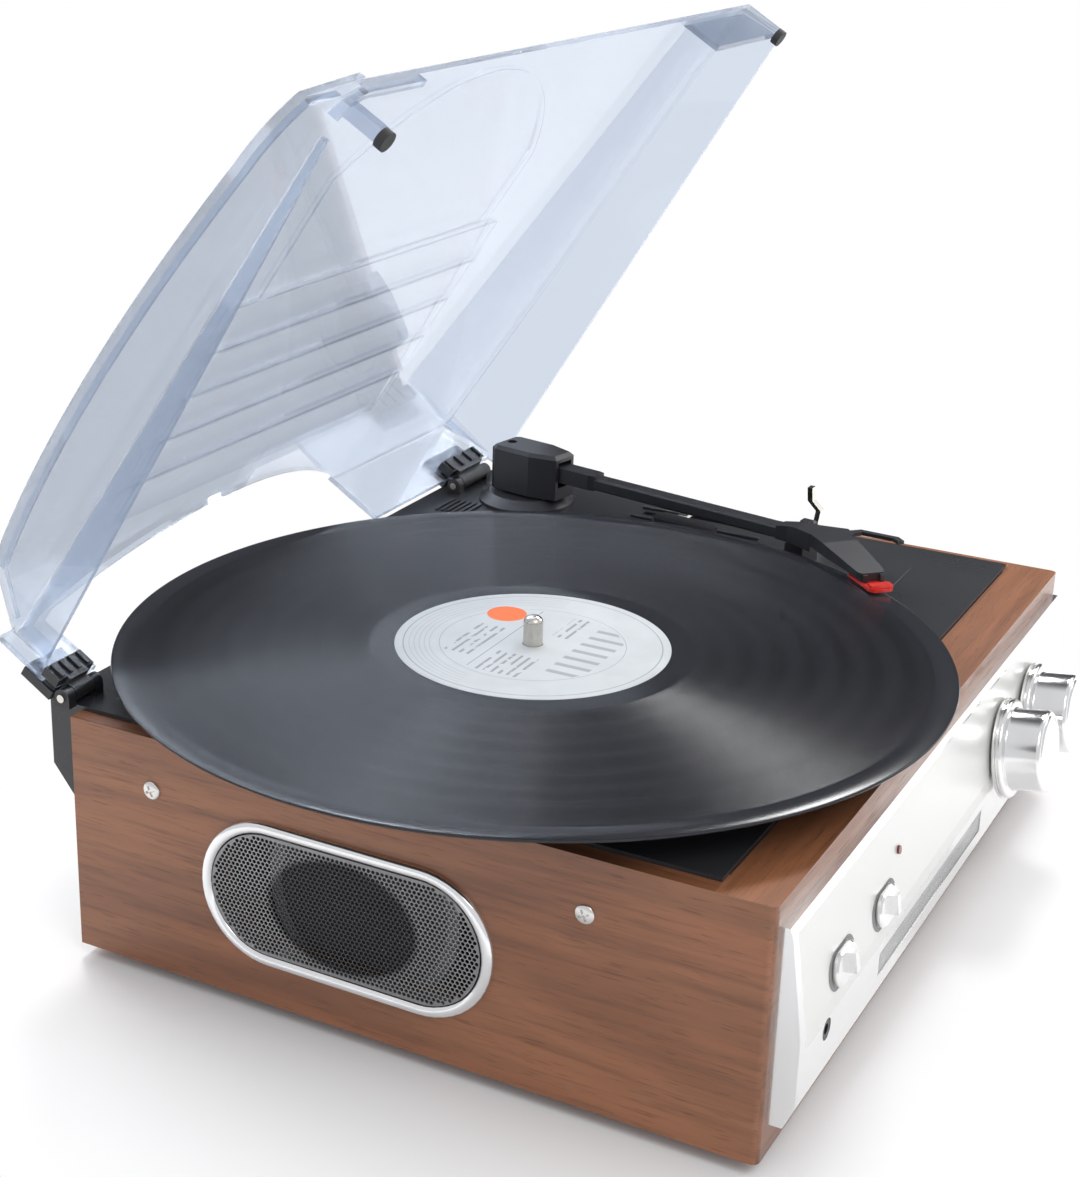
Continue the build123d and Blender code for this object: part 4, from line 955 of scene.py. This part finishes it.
# Glossy rays see a darker room on the far side; the camera and rays through the lid see plain white
rays = worldNode("ShaderNodeLightPath", {}).outputs
aim = worldNode("ShaderNodeTexCoord", {}).outputs["Generated"]
toFar = worldNode("ShaderNodeVectorMath", {0: aim, 1: room["darkSide"]}, "DOT_PRODUCT").outputs["Value"]
edges = {"Value": toFar, "From Min": room["darkFrom"], "From Max": room["darkTo"]}
reach = worldNode("ShaderNodeMapRange", edges).outputs[0]
gloss = worldNode("ShaderNodeMath", {0: rays["Is Glossy Ray"], 1: reach}, "MULTIPLY").outputs[0]
straight = {0: rays["Is Camera Ray"], 1: rays["Is Transmission Ray"]}
seen = worldNode("ShaderNodeMath", straight, "MAXIMUM").outputs[0]
glow = worldNode("ShaderNodeBackground", {0: room["glow"], 1: room["glowPower"]}).outputs[0]
dark = worldNode("ShaderNodeBackground", {0: room["dark"], 1: room["darkPower"]}).outputs[0]
white = worldNode("ShaderNodeBackground", {0: rgb(1.0, 1.0, 1.0), 1: 1.0}).outputs[0]
around = worldNode("ShaderNodeMixShader", {0: gloss, 1: glow, 2: dark}).outputs[0]
shown = worldNode("ShaderNodeMixShader", {0: seen, 1: around, 2: white}).outputs[0]
worldNode("ShaderNodeOutputWorld", {0: shown})

lampAim = Vector((0.05, 0.0, -0.03))
lamps = {
    "keyLamp": {"place": (-0.55, -0.95, 1.25), "size": 0.8, "power": 6.0},
    "sheenLampRear": {"place": (0.42, 0.55, 1.10), "size": 0.22, "power": 6.0},
    "sheenLampRight": {"place": (0.95, -0.06, 0.91), "size": 0.24, "power": 5.2},
    "rimLamp": {"place": (0.6, 1.2, 1.1), "size": 0.8, "power": 8.0},
    "sideLamp": {"place": (1.2, -0.7, 0.7), "size": 0.7, "power": 4.0},
}
for name, lamp in lamps.items():
    data = bpy.data.lights.new(name, "AREA")
    data.shape = "SQUARE"
    data.size = lamp["size"]
    data.energy = lamp["power"]
    obj = bpy.data.objects.new(name, data)
    bpy.context.scene.collection.objects.link(obj)
    obj.location = lamp["place"]
    obj.rotation_euler = (lampAim - Vector(lamp["place"])).to_track_quat("-Z", "Y").to_euler()

shot = {
    "place": (-0.62038, -0.30625, 0.28439), "azimuth": -61.22, "elevation": 20.39, "roll": 1.02,
    "lens": 63.18, "shiftX": 0.0762, "shiftY": -0.0148,
}
turn = math.radians(shot["azimuth"])
rise = math.radians(shot["elevation"])
lean = math.radians(shot["roll"])
back = Vector((math.sin(turn) * math.cos(rise), -math.cos(turn) * math.cos(rise), math.sin(rise)))
right = Vector((math.cos(turn), math.sin(turn), 0.0))
up = back.cross(right)
rolledRight = right * math.cos(lean) + up * math.sin(lean)
rolledUp = up * math.cos(lean) - right * math.sin(lean)
cameraData = bpy.data.cameras.new("photoCamera")
cameraData.sensor_width = 36.0
cameraData.lens = shot["lens"]
cameraData.shift_x = shot["shiftX"]
cameraData.shift_y = shot["shiftY"]
camera = bpy.data.objects.new("photoCamera", cameraData)
bpy.context.scene.collection.objects.link(camera)
pose = Matrix((rolledRight, rolledUp, back)).transposed().to_4x4()
pose.translation = Vector(shot["place"])
camera.matrix_world = pose
bpy.context.scene.camera = camera
bpy.context.scene.view_settings.view_transform = "Standard"
print("floor, light and camera set")
